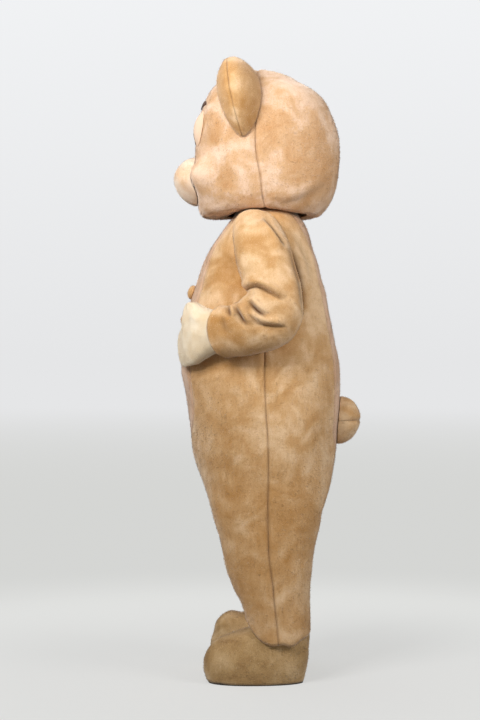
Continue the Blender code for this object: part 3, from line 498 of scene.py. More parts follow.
SLEEVE = SleeveForm(
    Table(
        ("ring", "x", "y", "z", "bend_y", "bend_z", "side_x", "side_y", "side_z"),
        (
            (1, 0.23, -0.0215, 1.342, 0.086, 0.0, -0.004, -0.028, 0.121),
            (2, 0.265, -0.016, 1.312, 0.09, -0.004, 0.026, -0.02, 0.096),
            (3, 0.293, -0.004, 1.263, 0.092, -0.006, 0.048, -0.01, 0.059),
            (4, 0.311, 0.009, 1.211, 0.089, -0.012, 0.064, -0.003, 0.024),
            (5, 0.318, 0.014, 1.17, 0.085, -0.033, 0.069, 0.0, 0.007),
            (6, 0.3195, 0.0015, 1.1365, 0.074, -0.062, 0.07, -0.004, 0.0),
            (7, 0.318, -0.027, 1.112, 0.055, -0.077, 0.069, -0.012, 0.0),
            (8, 0.313, -0.065, 1.096, 0.033, -0.08, 0.066, -0.024, 0.0),
            (9, 0.302, -0.105, 1.087, 0.017, -0.079, 0.059, -0.037, 0.0),
            (10, 0.283, -0.144, 1.086, 0.006, -0.074, 0.049, -0.049, 0.0),
        ),
    )
)


@dataclass(frozen=True)
class HeadForm:
    """The round head shell, with its cheeks and the arched rim over the shoulders."""

    rows: Table
    top: float = 18
    roundness: float = 0.88
    rim_free: float = 6.0
    rim_side: float = 0.0206
    rim_back: float = 0.010
    rim_sag: float = 0.011
    rim_sag_turn: float = 128.0
    rim_sag_spread: float = 30.0
    cheek_turn: float = 30.0
    cheek_spread: float = 15.0
    cheek_height: float = 1.573
    cheek_tall: float = 0.056
    cheek_out: float = 0.040
    search: float = 0.15
    halvings: int = 36

    def surface(self, angle: Points, row: Points) -> Points:
        """Points by angle around the head and row from the neck rim to the crown.

        Args:
            angle: Angles, 0 in front.
            row: Rows, 0 at the rim.

        Returns:
            The points.
        """
        read = self.rows.all(row)
        x, y = section(angle, 0.0, read["half"], read, self.roundness)
        z = read["z"]
        turn = (np.abs(angle) - math.radians(self.cheek_turn)) / math.radians(self.cheek_spread)
        bulge = self.cheek_out * np.exp(-(turn**2) - ((z - self.cheek_height) / self.cheek_tall) ** 2)
        arch = self.rim_side * np.sin(angle) ** 2 + self.rim_back * np.maximum(-np.cos(angle), 0) ** 2
        sag = self.rim_sag * bell(np.degrees(np.abs(angle)) - self.rim_sag_turn, self.rim_sag_spread)
        lift = (arch - sag) * (1 - ease(row / self.rim_free))
        return stack(x + bulge * np.sin(angle), y - bulge * np.cos(angle), z + lift)

    def row_at(self, z: Points) -> Points:
        """Row at a height above its lowest row."""
        rows = np.linspace(2, self.top, 400)
        return np.interp(z, self.rows.read("z", rows), rows)

    def on_face(self, x: Points, z: Points) -> Points:
        """The point of the face at a sideways place and a height."""
        row = self.row_at(z)
        share = np.clip(np.abs(x) / self.rows.read("half", row), 0, 0.999)
        return on_side_of(x, self.surface(np.arcsin(share ** (1 / self.roundness)), row))

    def reach(self, point: Points) -> Points:
        """Less than 1 inside the head's plain section at the point's height, and more outside.

        Args:
            point: Points in space.

        Returns:
            The measure at each point.
        """
        read = self.rows.all(self.row_at(point[..., 2]))
        side, power = read["side"], 2 / self.roundness
        depth = np.where(point[..., 1] < side, side - read["front"], read["back"] - side)
        half = np.maximum(read["half"], 1e-4)
        across = np.abs(point[..., 0] / half) ** power
        along = np.abs((point[..., 1] - side) / np.maximum(depth, 1e-4)) ** power
        return np.where(point[..., 2] > self.rows.read("z", self.top), 2.0, across + along)

    def height_along(self, origin: Points, direction: Points) -> Points:
        """Distance along a direction from each origin out to the head's surface.

        Args:
            origin: Points to start from.
            direction: A unit vector.

        Returns:
            Distances in metres.
        """
        low, high = (np.full(origin.shape[:-1], end) for end in (-self.search, self.search))
        for _ in range(self.halvings):
            middle = (low + high) / 2
            inside = self.reach(origin + middle[..., None] * direction) < 1
            low, high = np.where(inside, middle, low), np.where(inside, high, middle)
        return (low + high) / 2


HEAD = HeadForm(
    Table(
        ("row", "z", "front", "back", "half", "side"),
        (
            (0, 1.453, -0.132, 0.124, 0.15, -0.012),
            (1, 1.4505, -0.178, 0.146, 0.174, -0.0125),
            (2, 1.4535, -0.204, 0.16, 0.19, -0.013),
            (3, 1.465, -0.218, 0.173, 0.202, -0.0145),
            (4, 1.485, -0.2245, 0.19, 0.2135, -0.018),
            (5, 1.515, -0.227, 0.206, 0.2275, -0.023),
            (6, 1.555, -0.23, 0.2185, 0.2345, -0.0268),
            (7, 1.6, -0.2325, 0.226, 0.238, -0.0355),
            (8, 1.645, -0.2325, 0.2287, 0.238, -0.0415),
            (9, 1.69, -0.23, 0.2265, 0.2355, -0.0435),
            (10, 1.735, -0.2255, 0.218, 0.229, -0.044),
            (11, 1.78, -0.217, 0.201, 0.218, -0.044),
            (12, 1.82, -0.204, 0.181, 0.201, -0.043),
            (13, 1.8525, -0.187, 0.15, 0.18, -0.042),
            (14, 1.88, -0.16, 0.101, 0.15, -0.04),
            (15, 1.902, -0.118, 0.068, 0.112, -0.037),
            (16, 1.9155, -0.083, 0.026, 0.074, -0.034),
            (17, 1.9215, -0.056, -0.009, 0.036, -0.032),
            (18, 1.923, -0.03, -0.03, 0.0, -0.03),
        ),
    )
)


@dataclass(frozen=True)
class EarForm:
    """One ear, by step of its profile and turn from its lower end to its upper end."""

    profile: Table
    half_length: float = 0.155
    middle: Place = (0.160, -0.091, 1.8135)
    lean: float = 30.0
    sway: float = 0.009
    taper: float = 1.25
    gap: float = 0.0017
    rim: float = 4.0
    last: float = 8.0

    def axes(self) -> tuple[Points, Points, Points]:
        """Unit vectors along the ear's length, out from the head and forward."""
        lean = math.radians(self.lean)
        out = np.array([math.cos(lean), 0.0, math.sin(lean)])
        along = np.array([-math.sin(lean), 0.0, math.cos(lean)])
        return along, out, np.array([0.0, -1.0, 0.0])

    def grid(self, steps: Points, turns: Points, head: HeadForm) -> Points:
        """Points of the ear.

        Args:
            steps: Steps of the profile, from the front joint over the rim to the back joint.
            turns: Turns from the lower end, 0, to the upper end, pi.
            head: The head it stands on.

        Returns:
            The points.
        """
        along, out, ahead = self.axes()
        length, size = self.half_length * -np.cos(turns), np.sin(turns)
        forward, rise = self.profile.read("forward", steps), self.profile.read("out", steps)
        forward = forward * size**self.taper - self.sway * np.cos(turns)
        base = np.array(self.middle) + length[..., None] * along + forward[..., None] * ahead
        height = head.height_along(base, out) + self.gap + rise * size
        return base + height[..., None] * out


EAR = EarForm(
    Table(
        ("step", "forward", "out"),
        (
            (0, 0.054, 0.0),
            (1, 0.068, 0.03),
            (2, 0.074, 0.062),
            (3, 0.0615, 0.101),
            (4, 0.04, 0.1185),
            (5, 0.015, 0.11),
            (6, -0.019, 0.083),
            (7, -0.049, 0.043),
            (8, -0.069, 0.0),
        ),
    )
)


@dataclass(frozen=True)
class MittForm:
    """The left mitt, by turn (0 the thumb's edge, 90 degrees the palm) and ring towards the fingers."""

    rows: Table
    roundness: float = 0.9
    last: float = 8.0

    def surface(self, turn: Points, ring: Points) -> Points:
        """Points of the mitt.

        Args:
            turn: Turns around it.
            ring: Rings, 0 at the wrist.

        Returns:
            The points.
        """
        read = self.rows.all(ring)
        heading, drop = np.radians(read["turn"]), np.radians(read["drop"])
        up = stack(-np.sin(heading) * np.sin(drop), -np.cos(heading) * np.sin(drop), np.cos(drop))
        palm = stack(-np.cos(heading), np.sin(heading), 0 * heading)
        tall = np.where(np.cos(turn) > 0, read["up"], read["down"])
        rise = (tall * powered(np.cos(turn), self.roundness))[..., None]
        inward = (read["thick"] * powered(np.sin(turn), self.roundness))[..., None]
        return stack(read["x"], read["y"], read["z"]) + up * rise + palm * inward


MITT = MittForm(
    Table(
        ("ring", "x", "y", "z", "up", "down", "thick", "turn", "drop"),
        (
            (0.0, 0.298, -0.115, 1.088, 0.06, 0.06, 0.052, 38.0, 0.0),
            (1.0, 0.278, -0.15, 1.087, 0.062, 0.061, 0.05, 46.0, 2.0),
            (2.0, 0.256, -0.183, 1.082, 0.076, 0.065, 0.044, 52.0, 8.0),
            (3.0, 0.229, -0.2135, 1.072, 0.108, 0.073, 0.036, 55.0, 12.0),
            (4.0, 0.197, -0.2368, 1.06, 0.12, 0.078, 0.029, 60.0, 12.0),
            (4.5, 0.18, -0.246, 1.055, 0.086, 0.0765, 0.027, 63.0, 11.0),
            (4.9, 0.167, -0.2524, 1.051, 0.063, 0.075, 0.025, 66.0, 10.0),
            (6.0, 0.129, -0.2669, 1.04, 0.057, 0.066, 0.02, 72.0, 8.0),
            (7.0, 0.104, -0.2741, 1.034, 0.035, 0.043, 0.013, 76.0, 8.0),
            (8.0, 0.091, -0.2777, 1.031, 0.0, 0.0, 0.0, 78.0, 8.0),
        ),
    )
)


@dataclass(frozen=True)
class BootForm:
    """The left boot's upper and its sole."""

    rows: Table
    foot_x: float = 0.1430
    roundness: float = 0.92
    sole_top: float = 0.0090
    sole_edge: float = -0.0010
    lowest: float = 0.0093
    top: float = 0.2150
    puff_y: float = -0.135
    puff_long: float = 0.045
    puff_rise: float = 0.090
    ankle_start: float = 0.100
    ankle_reach: float = 0.050
    ankle_hold: float = 0.85
    right_lift: float = 0.028
    right_back: float = 0.016

    def surface(self, angle: Points, level: Points) -> Points:
        """Points by angle and height."""
        read = self.rows.all(level)
        x, y = section(angle, self.foot_x, read["half"], read, self.roundness)
        return stack(x, y, level)

    def placed(self, points: Points, side: Side) -> Points:
        """The boot's points on its own foot: the right one further back, with a fuller instep.

        Args:
            points: Points of the left boot.
            side: The boot's side.

        Returns:
            The points, still on the left.
        """
        if side is Side.LEFT:
            return points
        ahead = bell(points[..., 1] - self.puff_y, self.puff_long)
        lift = self.right_lift * ahead * ease((points[..., 2] - self.lowest) / self.puff_rise)
        lifted = points + lift[..., None] * UP
        share = 1 - self.ankle_hold * ease((lifted[..., 2] - self.ankle_start) / self.ankle_reach)
        return lifted + self.right_back * share[..., None] * np.array([0.0, 1.0, 0.0])


BOOT = BootForm(
    Table(
        ("level", "front", "back", "half", "side"),
        (
            (0.0093, -0.188, 0.106, 0.068, -0.06),
            (0.02, -0.197, 0.112, 0.075, -0.058),
            (0.04, -0.203, 0.118, 0.08, -0.052),
            (0.065, -0.203, 0.1225, 0.081, -0.044),
            (0.09, -0.196, 0.125, 0.079, -0.034),
            (0.112, -0.182, 0.1235, 0.076, -0.02),
            (0.132, -0.158, 0.119, 0.072, -0.004),
            (0.147, -0.128, 0.115, 0.0692, 0.008),
            (0.157, -0.102, 0.112, 0.0652, 0.016),
            (0.165, -0.078, 0.11, 0.0621, 0.02),
            (0.174, -0.059, 0.108, 0.059, 0.022),
            (0.215, -0.05, 0.106, 0.058, 0.026),
        ),
    )
)


# ---- folds ----


@dataclass(frozen=True)
class Fold:
    """One crease: its line over depth (y) and height (z), and its section.

    The roll is the soft ridge that the cloth makes on the left of the line's direction.
    """

    line: tuple[tuple[float, float], ...]
    width: float
    depth: float
    roll: float = 0.0
    breadth: float = 0.014
    shade: float = 1.0
    stretches: int = 6
    fade: float = 2.2
    trough_share: float = 0.7
    dip_share: float = 0.3

    def read(self, y: Points, z: Points) -> tuple[Points, Points]:
        """How far the fold moves the cloth outwards, and how deep it lies in shade.

        Args:
            y: Depths.
            z: Heights.

        Returns:
            Outward moves in metres, and shade from 0 to 1.
        """
        place = np.stack([y, z], axis=-1)
        best, side, at = np.full(y.shape, 1e9), np.zeros(y.shape), np.zeros(y.shape)
        ends = smoothed(np.array(self.line, dtype=float), self.stretches)
        lengths = np.linalg.norm(np.diff(ends, axis=0), axis=1)
        for number, (start, end, length) in enumerate(zip(ends, ends[1:], lengths)):
            way = (end - start) / length
            run = (place - start) @ way
            share = np.clip(run, 0, length)
            away = np.linalg.norm(place - start - share[..., None] * way, axis=-1)
            nearer = away < best
            turn = (place - start)[..., 0] * way[1] - (place - start)[..., 1] * way[0]
            best = np.where(nearer, away, best)
            side = np.where(nearer, np.where(turn < 0, away, -away), side)
            at = np.where(nearer, (lengths[:number].sum() + share) / lengths.sum(), at)
        fade = 1 - np.abs(2 * at - 1) ** self.fade
        trough = bell(best, self.width) * fade
        dip = bell(np.minimum(side + self.width, 0), self.breadth) * (side < 0) * fade
        swell = bell(side - self.breadth, 0.8 * self.breadth) * (side > 0) * fade
        sunk = self.trough_share * trough + self.dip_share * dip * (1 - trough)
        return self.roll * swell - self.depth * sunk, trough * self.shade


ARMPIT = Fold(
    (
        (0.0533, 1.3570), (0.0738, 1.3240), (0.0878, 1.2790), (0.0982, 1.2390), (0.1037, 1.1830),
        (0.1037, 1.128),
    ),
    0.0110, 0.0120, shade=0.95,
)
SLEEVE_FOLDS = (
    ARMPIT,
    Fold(
        ((0.0520, 1.3440), (0.0260, 1.3790), (-0.0010, 1.4150), (-0.0190, 1.4380)),
        0.0075, 0.0160, 0.014, 0.018, 1.15,
    ),
    Fold(
        ((-0.0850, 1.1930), (-0.0680, 1.2120), (-0.0397, 1.2167), (-0.0071, 1.2028), (0.0402, 1.1746)),
        0.0042, 0.0170, 0.015, 0.015, 0.6,
    ),
    Fold(
        ((-0.0680, 1.1780), (-0.0486, 1.1567), (-0.0338, 1.1419), (-0.0130, 1.1270)),
        0.0050, 0.0200, 0.015, 0.013,
    ),
    Fold(
        ((-0.0700, 1.1440), (-0.0398, 1.1122), (-0.0073, 1.1004), (0.0488, 1.0975)),
        0.0050, 0.0140, 0.013, 0.015, 0.40,
    ),
    Fold(
        ((-0.1100, 1.1640), (-0.0944, 1.1406), (-0.0811, 1.1169), (-0.0690, 1.1000)),
        0.0052, 0.0190, 0.014, 0.013,
    ),
    Fold(((-0.1480, 1.1350), (-0.1400, 1.1069), (-0.1320, 1.0780)), 0.0080, 0.0070, 0.004, 0.014, 0.35),
    Fold(((-0.1300, 1.1660), (-0.1247, 1.1455), (-0.1190, 1.1270)), 0.0058, 0.0110, 0.007, 0.011, 0.85),
)
BODY_FOLDS = (
    ARMPIT,
    Fold(((-0.1484, 1.3379), (-0.1238, 1.2888), (-0.0992, 1.2458)), 0.0260, 0.0120, 0.002, 0.030, 0.12),
    Fold(
        ((0.0621, 1.4097), (0.0900, 1.3725), (0.1149, 1.3321), (0.1304, 1.2825), (0.1350, 1.2328)),
        0.010, 0.007, 0.004, 0.018, 0.20,
    ),
)
HEAD_FOLDS = (
    Fold(
        ((-0.0100, 1.4760), (0.0790, 1.4880), (0.1620, 1.5340), (0.1955, 1.5590)),
        0.0110, 0.0050, 0.002, 0.020, 0.22,
    ),
)
MITT_FOLDS = (
    Fold(((-0.2560, 1.1280), (-0.2300, 1.1130), (-0.2050, 1.1080)), 0.0090, 0.0050, 0.002, shade=0.06),
    Fold(((-0.1900, 1.1000), (-0.1850, 1.0700), (-0.1920, 1.0400)), 0.0090, 0.0045, 0.001, shade=0.10),
    Fold(((-0.2330, 1.0750), (-0.2150, 1.0520), (-0.2120, 1.0250)), 0.0100, 0.0040, 0.001, shade=0.05),
)


def smoothed(line: Points, parts: int) -> Points:
    """A line rounded through its points, each stretch cut into equal parts.

    Args:
        line: Its points.
        parts: How many parts each stretch gets.

    Returns:
        The rounded line.
    """
    ends = np.concatenate([2 * line[:1] - line[1:2], line, 2 * line[-1:] - line[-2:-1]])
    t = (np.arange(parts) / parts)[:, None]
    made = []
    for before, start, end, after in zip(ends, ends[1:], ends[2:], ends[3:]):
        slope, last = (end - before) / 2, (after - start) / 2
        rise = end - start
        bend, twist = 3 * rise - 2 * slope - last, slope + last - 2 * rise
        made.append(start + t * (slope + t * (bend + t * twist)))
    return np.concatenate([*made, line[-1:]])


@dataclass(frozen=True)
class Relief:
    """How a piece departs from its plain form: folds, soft unevenness and the pull of its seams."""

    folds: tuple[Fold, ...] = ()
    soft: float = 0.0012
    fine: float = 0.0004
    seam_depth: float = 0.0022
    seam_width: float = 0.0055
    hidden: float = 0.6
    crisp: float = 0.8
    pucker: float = 0.35
    puff: float = 0.25
    puff_place: float = 3.2
    shift: tuple[float, float] = (0.0, 0.0)

    def read(self, points: Points, away: Points, seam: Points) -> tuple[Points, Points]:
        """Outward moves of a piece's points, and their shade.

        Args:
            points: Points of the plain form.
            away: Their unit outward normals.
            seam: Their distance from the nearest seam.

        Returns:
            Moves in metres, and shade from 0 to 1.
        """
        move = self.soft * WIDE.at(points) + self.fine * NARROW.at(points)
        shade = np.zeros(seam.shape)
        share = self.share(away)
        y, z = points[..., 1] - self.shift[0], points[..., 2] - self.shift[1]
        for fold in self.folds:
            seen, seen_shade = fold.read(y, z)
            move = move + seen * share
            shade = np.maximum(shade, seen_shade * share)
        pucker = 1 + self.pucker * PUCKER.at(points)
        pull = bell(seam, self.seam_width)
        puff = bell(seam - self.puff_place * self.seam_width, 2 * self.seam_width)
        return move + self.seam_depth * (self.puff * puff - pull * pucker), shade

    def share(self, away: Points) -> Points:
        """How much of the folds shows: all on the outside, less on the inside, none edge on."""
        seen, unseen = (ease((way * away[..., 0] + 0.05) / 0.35) for way in (1, -1))
        return seen + unseen * self.hidden

    def creased(self, points: Points, away: Points) -> Points:
        """How deep each point lies in a crease, from 0 to 1."""
        shade = np.zeros(len(points))
        y, z = points[:, 1] - self.shift[0], points[:, 2] - self.shift[1]
        for fold in self.folds:
            thin = replace(fold, width=fold.width * self.crisp)
            shade = np.maximum(shade, thin.read(y, z)[1])
        return shade * self.share(away)


WIDE, NARROW, PUCKER = SoftNoise(0.110, 11), SoftNoise(0.034, 12), SoftNoise(0.020, 13)
NAP_WIDE, NAP_SMALL, NAP_SWIRL = SoftNoise(0.120, 21), SoftNoise(0.045, 22), SoftNoise(0.150, 23)
NAP_FINE, TUFT, TIP = SoftNoise(0.022, 24, 24), SoftNoise(0.0095, 25, 32), SoftNoise(0.0065, 26, 40)
WARP = tuple(SoftNoise(0.060, seed) for seed in (31, 32, 33))
WARP_REACH = 0.014
PATCH_POWER = 1.5  # how strongly a brushed patch turns the nap


BRUSHED = (  # depth, height, how far it reaches in each, and how much lighter the nap lies there
    (-0.1366, 1.5425, 0.04, 0.036, -0.85),
    (-0.186, 1.7045, 0.03, 0.036, -0.85),
    (-0.225, 1.585, 0.045, 0.06, 0.1),
    (-0.15, 1.648, 0.05, 0.035, 0.3),
    (-0.001, 1.73, 0.06, 0.06, -0.3),
    (0.078, 1.727, 0.07, 0.045, 0.2),
    (0.02, 1.54, 0.06, 0.035, 0.25),
    (0.18, 1.619, 0.04, 0.04, -0.45),
    (0.17, 1.49, 0.05, 0.03, -0.4),
    (0.194, 1.676, 0.02, 0.05, 0.4),
    (0.088, 1.852, 0.07, 0.035, 0.25),
    (-0.082, 1.495, 0.02, 0.016, -0.35),
    (-0.076, 1.77, 0.034, 0.06, -0.8),
    (-0.14, 1.82, 0.03, 0.06, -0.45),
    (-0.081, 1.922, 0.03, 0.03, 0.35),
    (-0.264, 1.562, 0.06, 0.06, 0.45),
    # The next row darkens the chest just in front of the sleeve: painted shade in the hollow beside the arm.
    (-0.133, 1.273, 0.034, 0.07, -0.9),
    (-0.13, 1.106, 0.06, 0.036, -0.85),
    (-0.002, 1.15, 0.03, 0.03, 0.3),
    (0.15, 1.225, 0.05, 0.15, 0.9),
    (-0.052, 1.342, 0.035, 0.05, -0.2),
    (-0.115, 0.88, 0.05, 0.09, -0.2),
    (0.1, 0.96, 0.08, 0.11, 0.4),
    (0.11, 1.63, 0.09, 0.16, -0.22),
    (0.29, 0.805, 0.07, 0.08, 0.6),
    # The next row darkens the pile over the legs: painted shade, standing in for the weaker light there.
    (0.01, 0.4, 0.2, 0.24, -0.22),
)


def nap_at(points: Points) -> Points:
    """How the pile is brushed at points: 0 where it lies dark, 1 where it stands light. Two rows of BRUSHED,
    on the chest beside the arm and over the legs, add painted shade.

    Args:
        points: The points.

    Returns:
        A share for each point.
    """
    bent = points + WARP_REACH * np.stack([warp.at(points) for warp in WARP], axis=-1)
    patch = 0.30 * NAP_WIDE.at(bent) + 0.28 * NAP_SMALL.at(bent)
    for depth, height, long, tall, lighter in BRUSHED:
        off = np.hypot((bent[..., 1] - depth) / long, (bent[..., 2] - height) / tall)
        patch = patch + PATCH_POWER * lighter * np.exp(-(off**4))
    stroke = NAP_FINE.at(bent * np.array([1.0, 0.7, 1.8]))
    return np.clip(0.56 + 0.36 * np.tanh(1.4 * patch) + 0.08 * stroke, 0, 1)


# ---- finishes ----

Colour = tuple[float, float, float]


class Wire:
    """A shader socket that takes part in Python maths."""

    def __init__(self, bench: "ShaderBench", socket: Any) -> None:
        """Keeps the socket and the bench that adds its nodes."""
        self.bench = bench
        self.socket = socket

    def __add__(self, other: Any) -> "Wire":
        """Sum."""
        return self.bench.maths("ADD", self, other)

    def __radd__(self, other: Any) -> "Wire":
        """Sum, reflected."""
        return self.bench.maths("ADD", other, self)

    def __sub__(self, other: Any) -> "Wire":
        """Difference."""
        return self.bench.maths("SUBTRACT", self, other)

    def __rsub__(self, other: Any) -> "Wire":
        """Difference, reflected."""
        return self.bench.maths("SUBTRACT", other, self)

    def __mul__(self, other: Any) -> "Wire":
        """Product."""
        return self.bench.maths("MULTIPLY", self, other)

    def __rmul__(self, other: Any) -> "Wire":
        """Product, reflected."""
        return self.bench.maths("MULTIPLY", other, self)

    def held(self) -> "Wire":
        """The value held between 0 and 1."""
        return self.bench.maths("ADD", self, 0.0, clamp=True)


class ShaderBench:
    """Builds the nodes of one material or of the world."""

    def __init__(self, name: str, world: bool = False) -> None:
        """Starts a material with its Principled shader, or a world with its background.

        Args:
            name: Its name.
            world: True for a world.
        """
        self.material = (bpy.data.worlds if world else bpy.data.materials).new(name)
        self.material.use_nodes = True
        self.tree = self.material.node_tree
        self.shader = self.tree.nodes["Background" if world else "Principled BSDF"]

    def node(self, kind: str, settings: dict[str, Any], sockets: dict[Any, Any]) -> Any:
        """Adds a node.

        Args:
            kind: Its type.
            settings: Its own settings, set first.
            sockets: Values or wires of its sockets, by name or number.

        Returns:
            The node.
        """
        made = self.tree.nodes.new(kind)
        for key, value in settings.items():
            setattr(made, key, value)
        for key, value in sockets.items():
            self.feed(made.inputs[key], value)
        return made

    def feed(self, socket: Any, value: Any) -> None:
        """Links or sets one socket."""
        if isinstance(value, Wire):
            self.tree.links.new(value.socket, socket)
        else:
            socket.default_value = value

    def maths(self, operation: str, first: Any, second: Any, clamp: bool = False) -> Wire:
        """A Math node's result on two values."""
        settings = {"operation": operation, "use_clamp": clamp}
        return Wire(self, self.node("ShaderNodeMath", settings, {0: first, 1: second}).outputs[0])

    def mix(self, share: Any, first: Any, second: Any, blend: str = "MIX") -> Wire:
        """A mix of two colours."""
        settings = {"data_type": "RGBA", "blend_type": blend}
        sockets = {0: share, 6: self.colour(first), 7: self.colour(second)}
        return Wire(self, self.node("ShaderNodeMix", settings, sockets).outputs[2])

    @staticmethod
    def colour(value: Any) -> Any:
        """A plain colour with its alpha, or a wire as it is."""
        return value if isinstance(value, Wire) else (*value, 1.0)

    def own(self, name: str) -> Wire:
        """A number kept on the mesh's own points."""
        made = self.node("ShaderNodeAttribute", {"attribute_name": name}, {})
        return Wire(self, made.outputs["Fac"])

    def place(self, stretch: Place = (1.0, 1.0, 1.0)) -> Wire:
        """The object's own coordinates, stretched."""
        own = Wire(self, self.node("ShaderNodeTexCoord", {}, {}).outputs["Object"])
        scaled = self.node("ShaderNodeVectorMath", {"operation": "MULTIPLY"}, {0: own, 1: stretch})
        return Wire(self, scaled.outputs[0])

    def noise(self, place: Wire, scale: float, detail: float = 3.0, rough: float = 0.5) -> Wire:
        """Cloudy noise from 0 to 1 around 0.5."""
        sockets = {"Vector": place, "Scale": scale, "Detail": detail, "Roughness": rough}
        return Wire(self, self.node("ShaderNodeTexNoise", {}, sockets).outputs[0])

    def bump(self, height: Wire, strength: float, distance: float) -> None:
        """Feeds the shader's normal from a height."""
        sockets = {"Strength": strength, "Distance": distance, "Height": height}
        made = self.node("ShaderNodeBump", {}, sockets)
        self.feed(self.shader.inputs["Normal"], Wire(self, made.outputs[0]))

    def dress(self, **sockets: Any) -> bpy.types.Material:
        """Sets the shader's sockets, spaces written as underscores, and returns the material."""
        for key, value in sockets.items():
            self.feed(self.shader.inputs[key.replace("_", " ")], value)
        return self.material


def blended(first: Colour, second: Colour, share: float) -> Colour:
    """A colour between two colours."""
    return tuple(a + (b - a) * share for a, b in zip(first, second))


@dataclass(frozen=True)
class Plush:
    """Short brushed plush: its cloth's material and the tints of its pile."""

    name: str
    slot: str
    deep: Colour
    body: Colour
    light: Colour
    shade: Colour
    pile_length: float = 0.0052
    density: float = 104000.0
    tints: int = 6

    def colour(self, nap: float) -> Colour:
        """The pile's colour for a nap from 0 to 1."""
        if nap < 0.5:
            return blended(self.deep, self.body, nap * 2)
        return blended(self.body, self.light, nap * 2 - 1)

    @property
    def sheen(self) -> tuple[float, ...]:
        """The tint of its sheen, halfway from its light colour to white."""
        return (*blended(self.light, (1, 1, 1), 0.5), 1.0)

    def cloth(self) -> bpy.types.Material:
        """The cloth under and between the strands."""
        bench = ShaderBench(self.name)
        nap, crease, seam = bench.own("nap"), bench.own("crease"), bench.own("seam")
        grain = bench.noise(bench.place(), 260.0, 3.0, 0.6)
        streak = bench.noise(bench.place((1.0, 1.0, 0.35)), 62.0, 3.0, 0.55)
        cloud = bench.noise(bench.place(), 17.0, 2.0, 0.5)
        level = (nap + (streak - 0.5) * 0.55 + (cloud - 0.5) * 0.30 + (grain - 0.5) * 0.7).held()
        low = bench.mix((level * 2).held(), self.deep, self.body)
        tone = bench.mix((level * 2 - 1).held(), low, self.light)
        # Painted shade: the cloth's colour is drawn towards its shade colour in the folds' creases. Along the
        # seams the same darkening is the dark stitch line.
        crease_shade_and_seam = bench.mix((crease * 1.1 + seam * 0.35).held(), tone, self.shade)
        bench.bump(grain * 0.6 + streak * 0.4, 0.5, 0.0025)
        return bench.dress(
            Base_Color=crease_shade_and_seam,
            Roughness=0.95,
            Sheen_Weight=0.5,
            Sheen_Roughness=0.5,
            Sheen_Tint=self.sheen,
            Specular_IOR_Level=0.15,
        )

    def strands(self) -> list[bpy.types.Material]:
        """One material for each tint of the pile, from shade to light."""
        made = []
        for number in range(self.tints):
            tone = self.colour((number - 0.5) / (self.tints - 1))
            gloss = 0.7 + 0.2 * (number / (self.tints - 1))
            # Tint 0 is the dark tint: painted shade in creases, and the dark line along seams.
            if number == 0:
                tone, gloss = blended(self.shade, self.deep, 0.15), 0.1
            bench = ShaderBench(f"{self.name}_pile_{number}")
            strand = bench.dress(
                Base_Color=(*tone, 1.0),
                Roughness=0.85,
                Sheen_Weight=gloss,
                Sheen_Roughness=0.5,
                Sheen_Tint=self.sheen,
                Specular_IOR_Level=0.2,
            )
            made.append(strand)
        return made


@dataclass(frozen=True)
class Felt:
    """Smooth felt or cloth of one colour, darker at its stitched rim."""

    name: str
    slot: str
    body: Colour
    rim: Colour
    roughness: float = 0.75
    bump: float = 0.2
    gloss: float = 0.3

    def cloth(self) -> bpy.types.Material:
        """The felt's material."""
        bench = ShaderBench(self.name)
        grain = bench.noise(bench.place(), 420.0, 4.0, 0.6)
        cloud = bench.noise(bench.place(), 40.0, 2.0, 0.5)
        tone = bench.mix(cloud * 0.35, self.body, tuple(c * 0.8 for c in self.body))
        edged = bench.mix(bench.own("seam"), tone, self.rim)
        bench.bump(grain, self.bump, 0.0012)
        rough = ((grain - 0.5) * 0.3 + self.roughness).held()
        return bench.dress(Base_Color=edged, Roughness=rough, Specular_IOR_Level=self.gloss, Sheen_Weight=0.1)


TAN = Plush(
    "tan_plush", "tan_plush",
    (0.49, 0.245, 0.075), (0.61, 0.355, 0.155), (0.80, 0.555, 0.325), (0.12, 0.05, 0.018),
)
HEAD_TAN = Plush(
    "head_tan_plush", "tan_plush",
    (0.53, 0.272, 0.105), (0.645, 0.395, 0.213), (0.81, 0.588, 0.428), (0.16, 0.068, 0.025),
)
MUZZLE_TAN = Plush(
    "muzzle_tan_plush", "tan_plush",
    (0.66, 0.40, 0.20), (0.76, 0.53, 0.345), (0.90, 0.73, 0.57), (0.18, 0.08, 0.035),
)
PINK = Plush(
    "pink_tan_plush", "pink_tan_plush",
    (0.52, 0.30, 0.16), (0.63, 0.39, 0.24), (0.75, 0.51, 0.35), (0.24, 0.11, 0.06),
)
CREAM = Plush(
    "cream_plush", "cream_plush",
    (0.78, 0.59, 0.35), (0.86, 0.69, 0.47), (0.92, 0.79, 0.60), (0.30, 0.17, 0.08),
)
BROWN = Plush(
    "brown_plush", "brown_plush",
    (0.335, 0.184, 0.068), (0.495, 0.308, 0.132), (0.70, 0.485, 0.262), (0.11, 0.05, 0.02),
)
EYE_FELT = Felt("eye_felt", "eye_felt", (0.76, 0.555, 0.405), (0.70, 0.46, 0.29), 0.85, 0.12, 0.15)
DARK_FELT = Felt("dark_felt", "dark_felt", (0.055, 0.030, 0.020), (0.030, 0.016, 0.012), 0.6, 0.25, 0.35)
BROW_FELT = Felt("brow_felt", "dark_felt", (0.10, 0.050, 0.030), (0.05, 0.025, 0.015), 0.6, 0.25, 0.3)
SOLE_RUBBER = Felt(
    "sole_rubber", "sole_rubber", (0.050, 0.036, 0.028), (0.030, 0.022, 0.018), 0.7, 0.3, 0.35
)


# ---- pieces ----


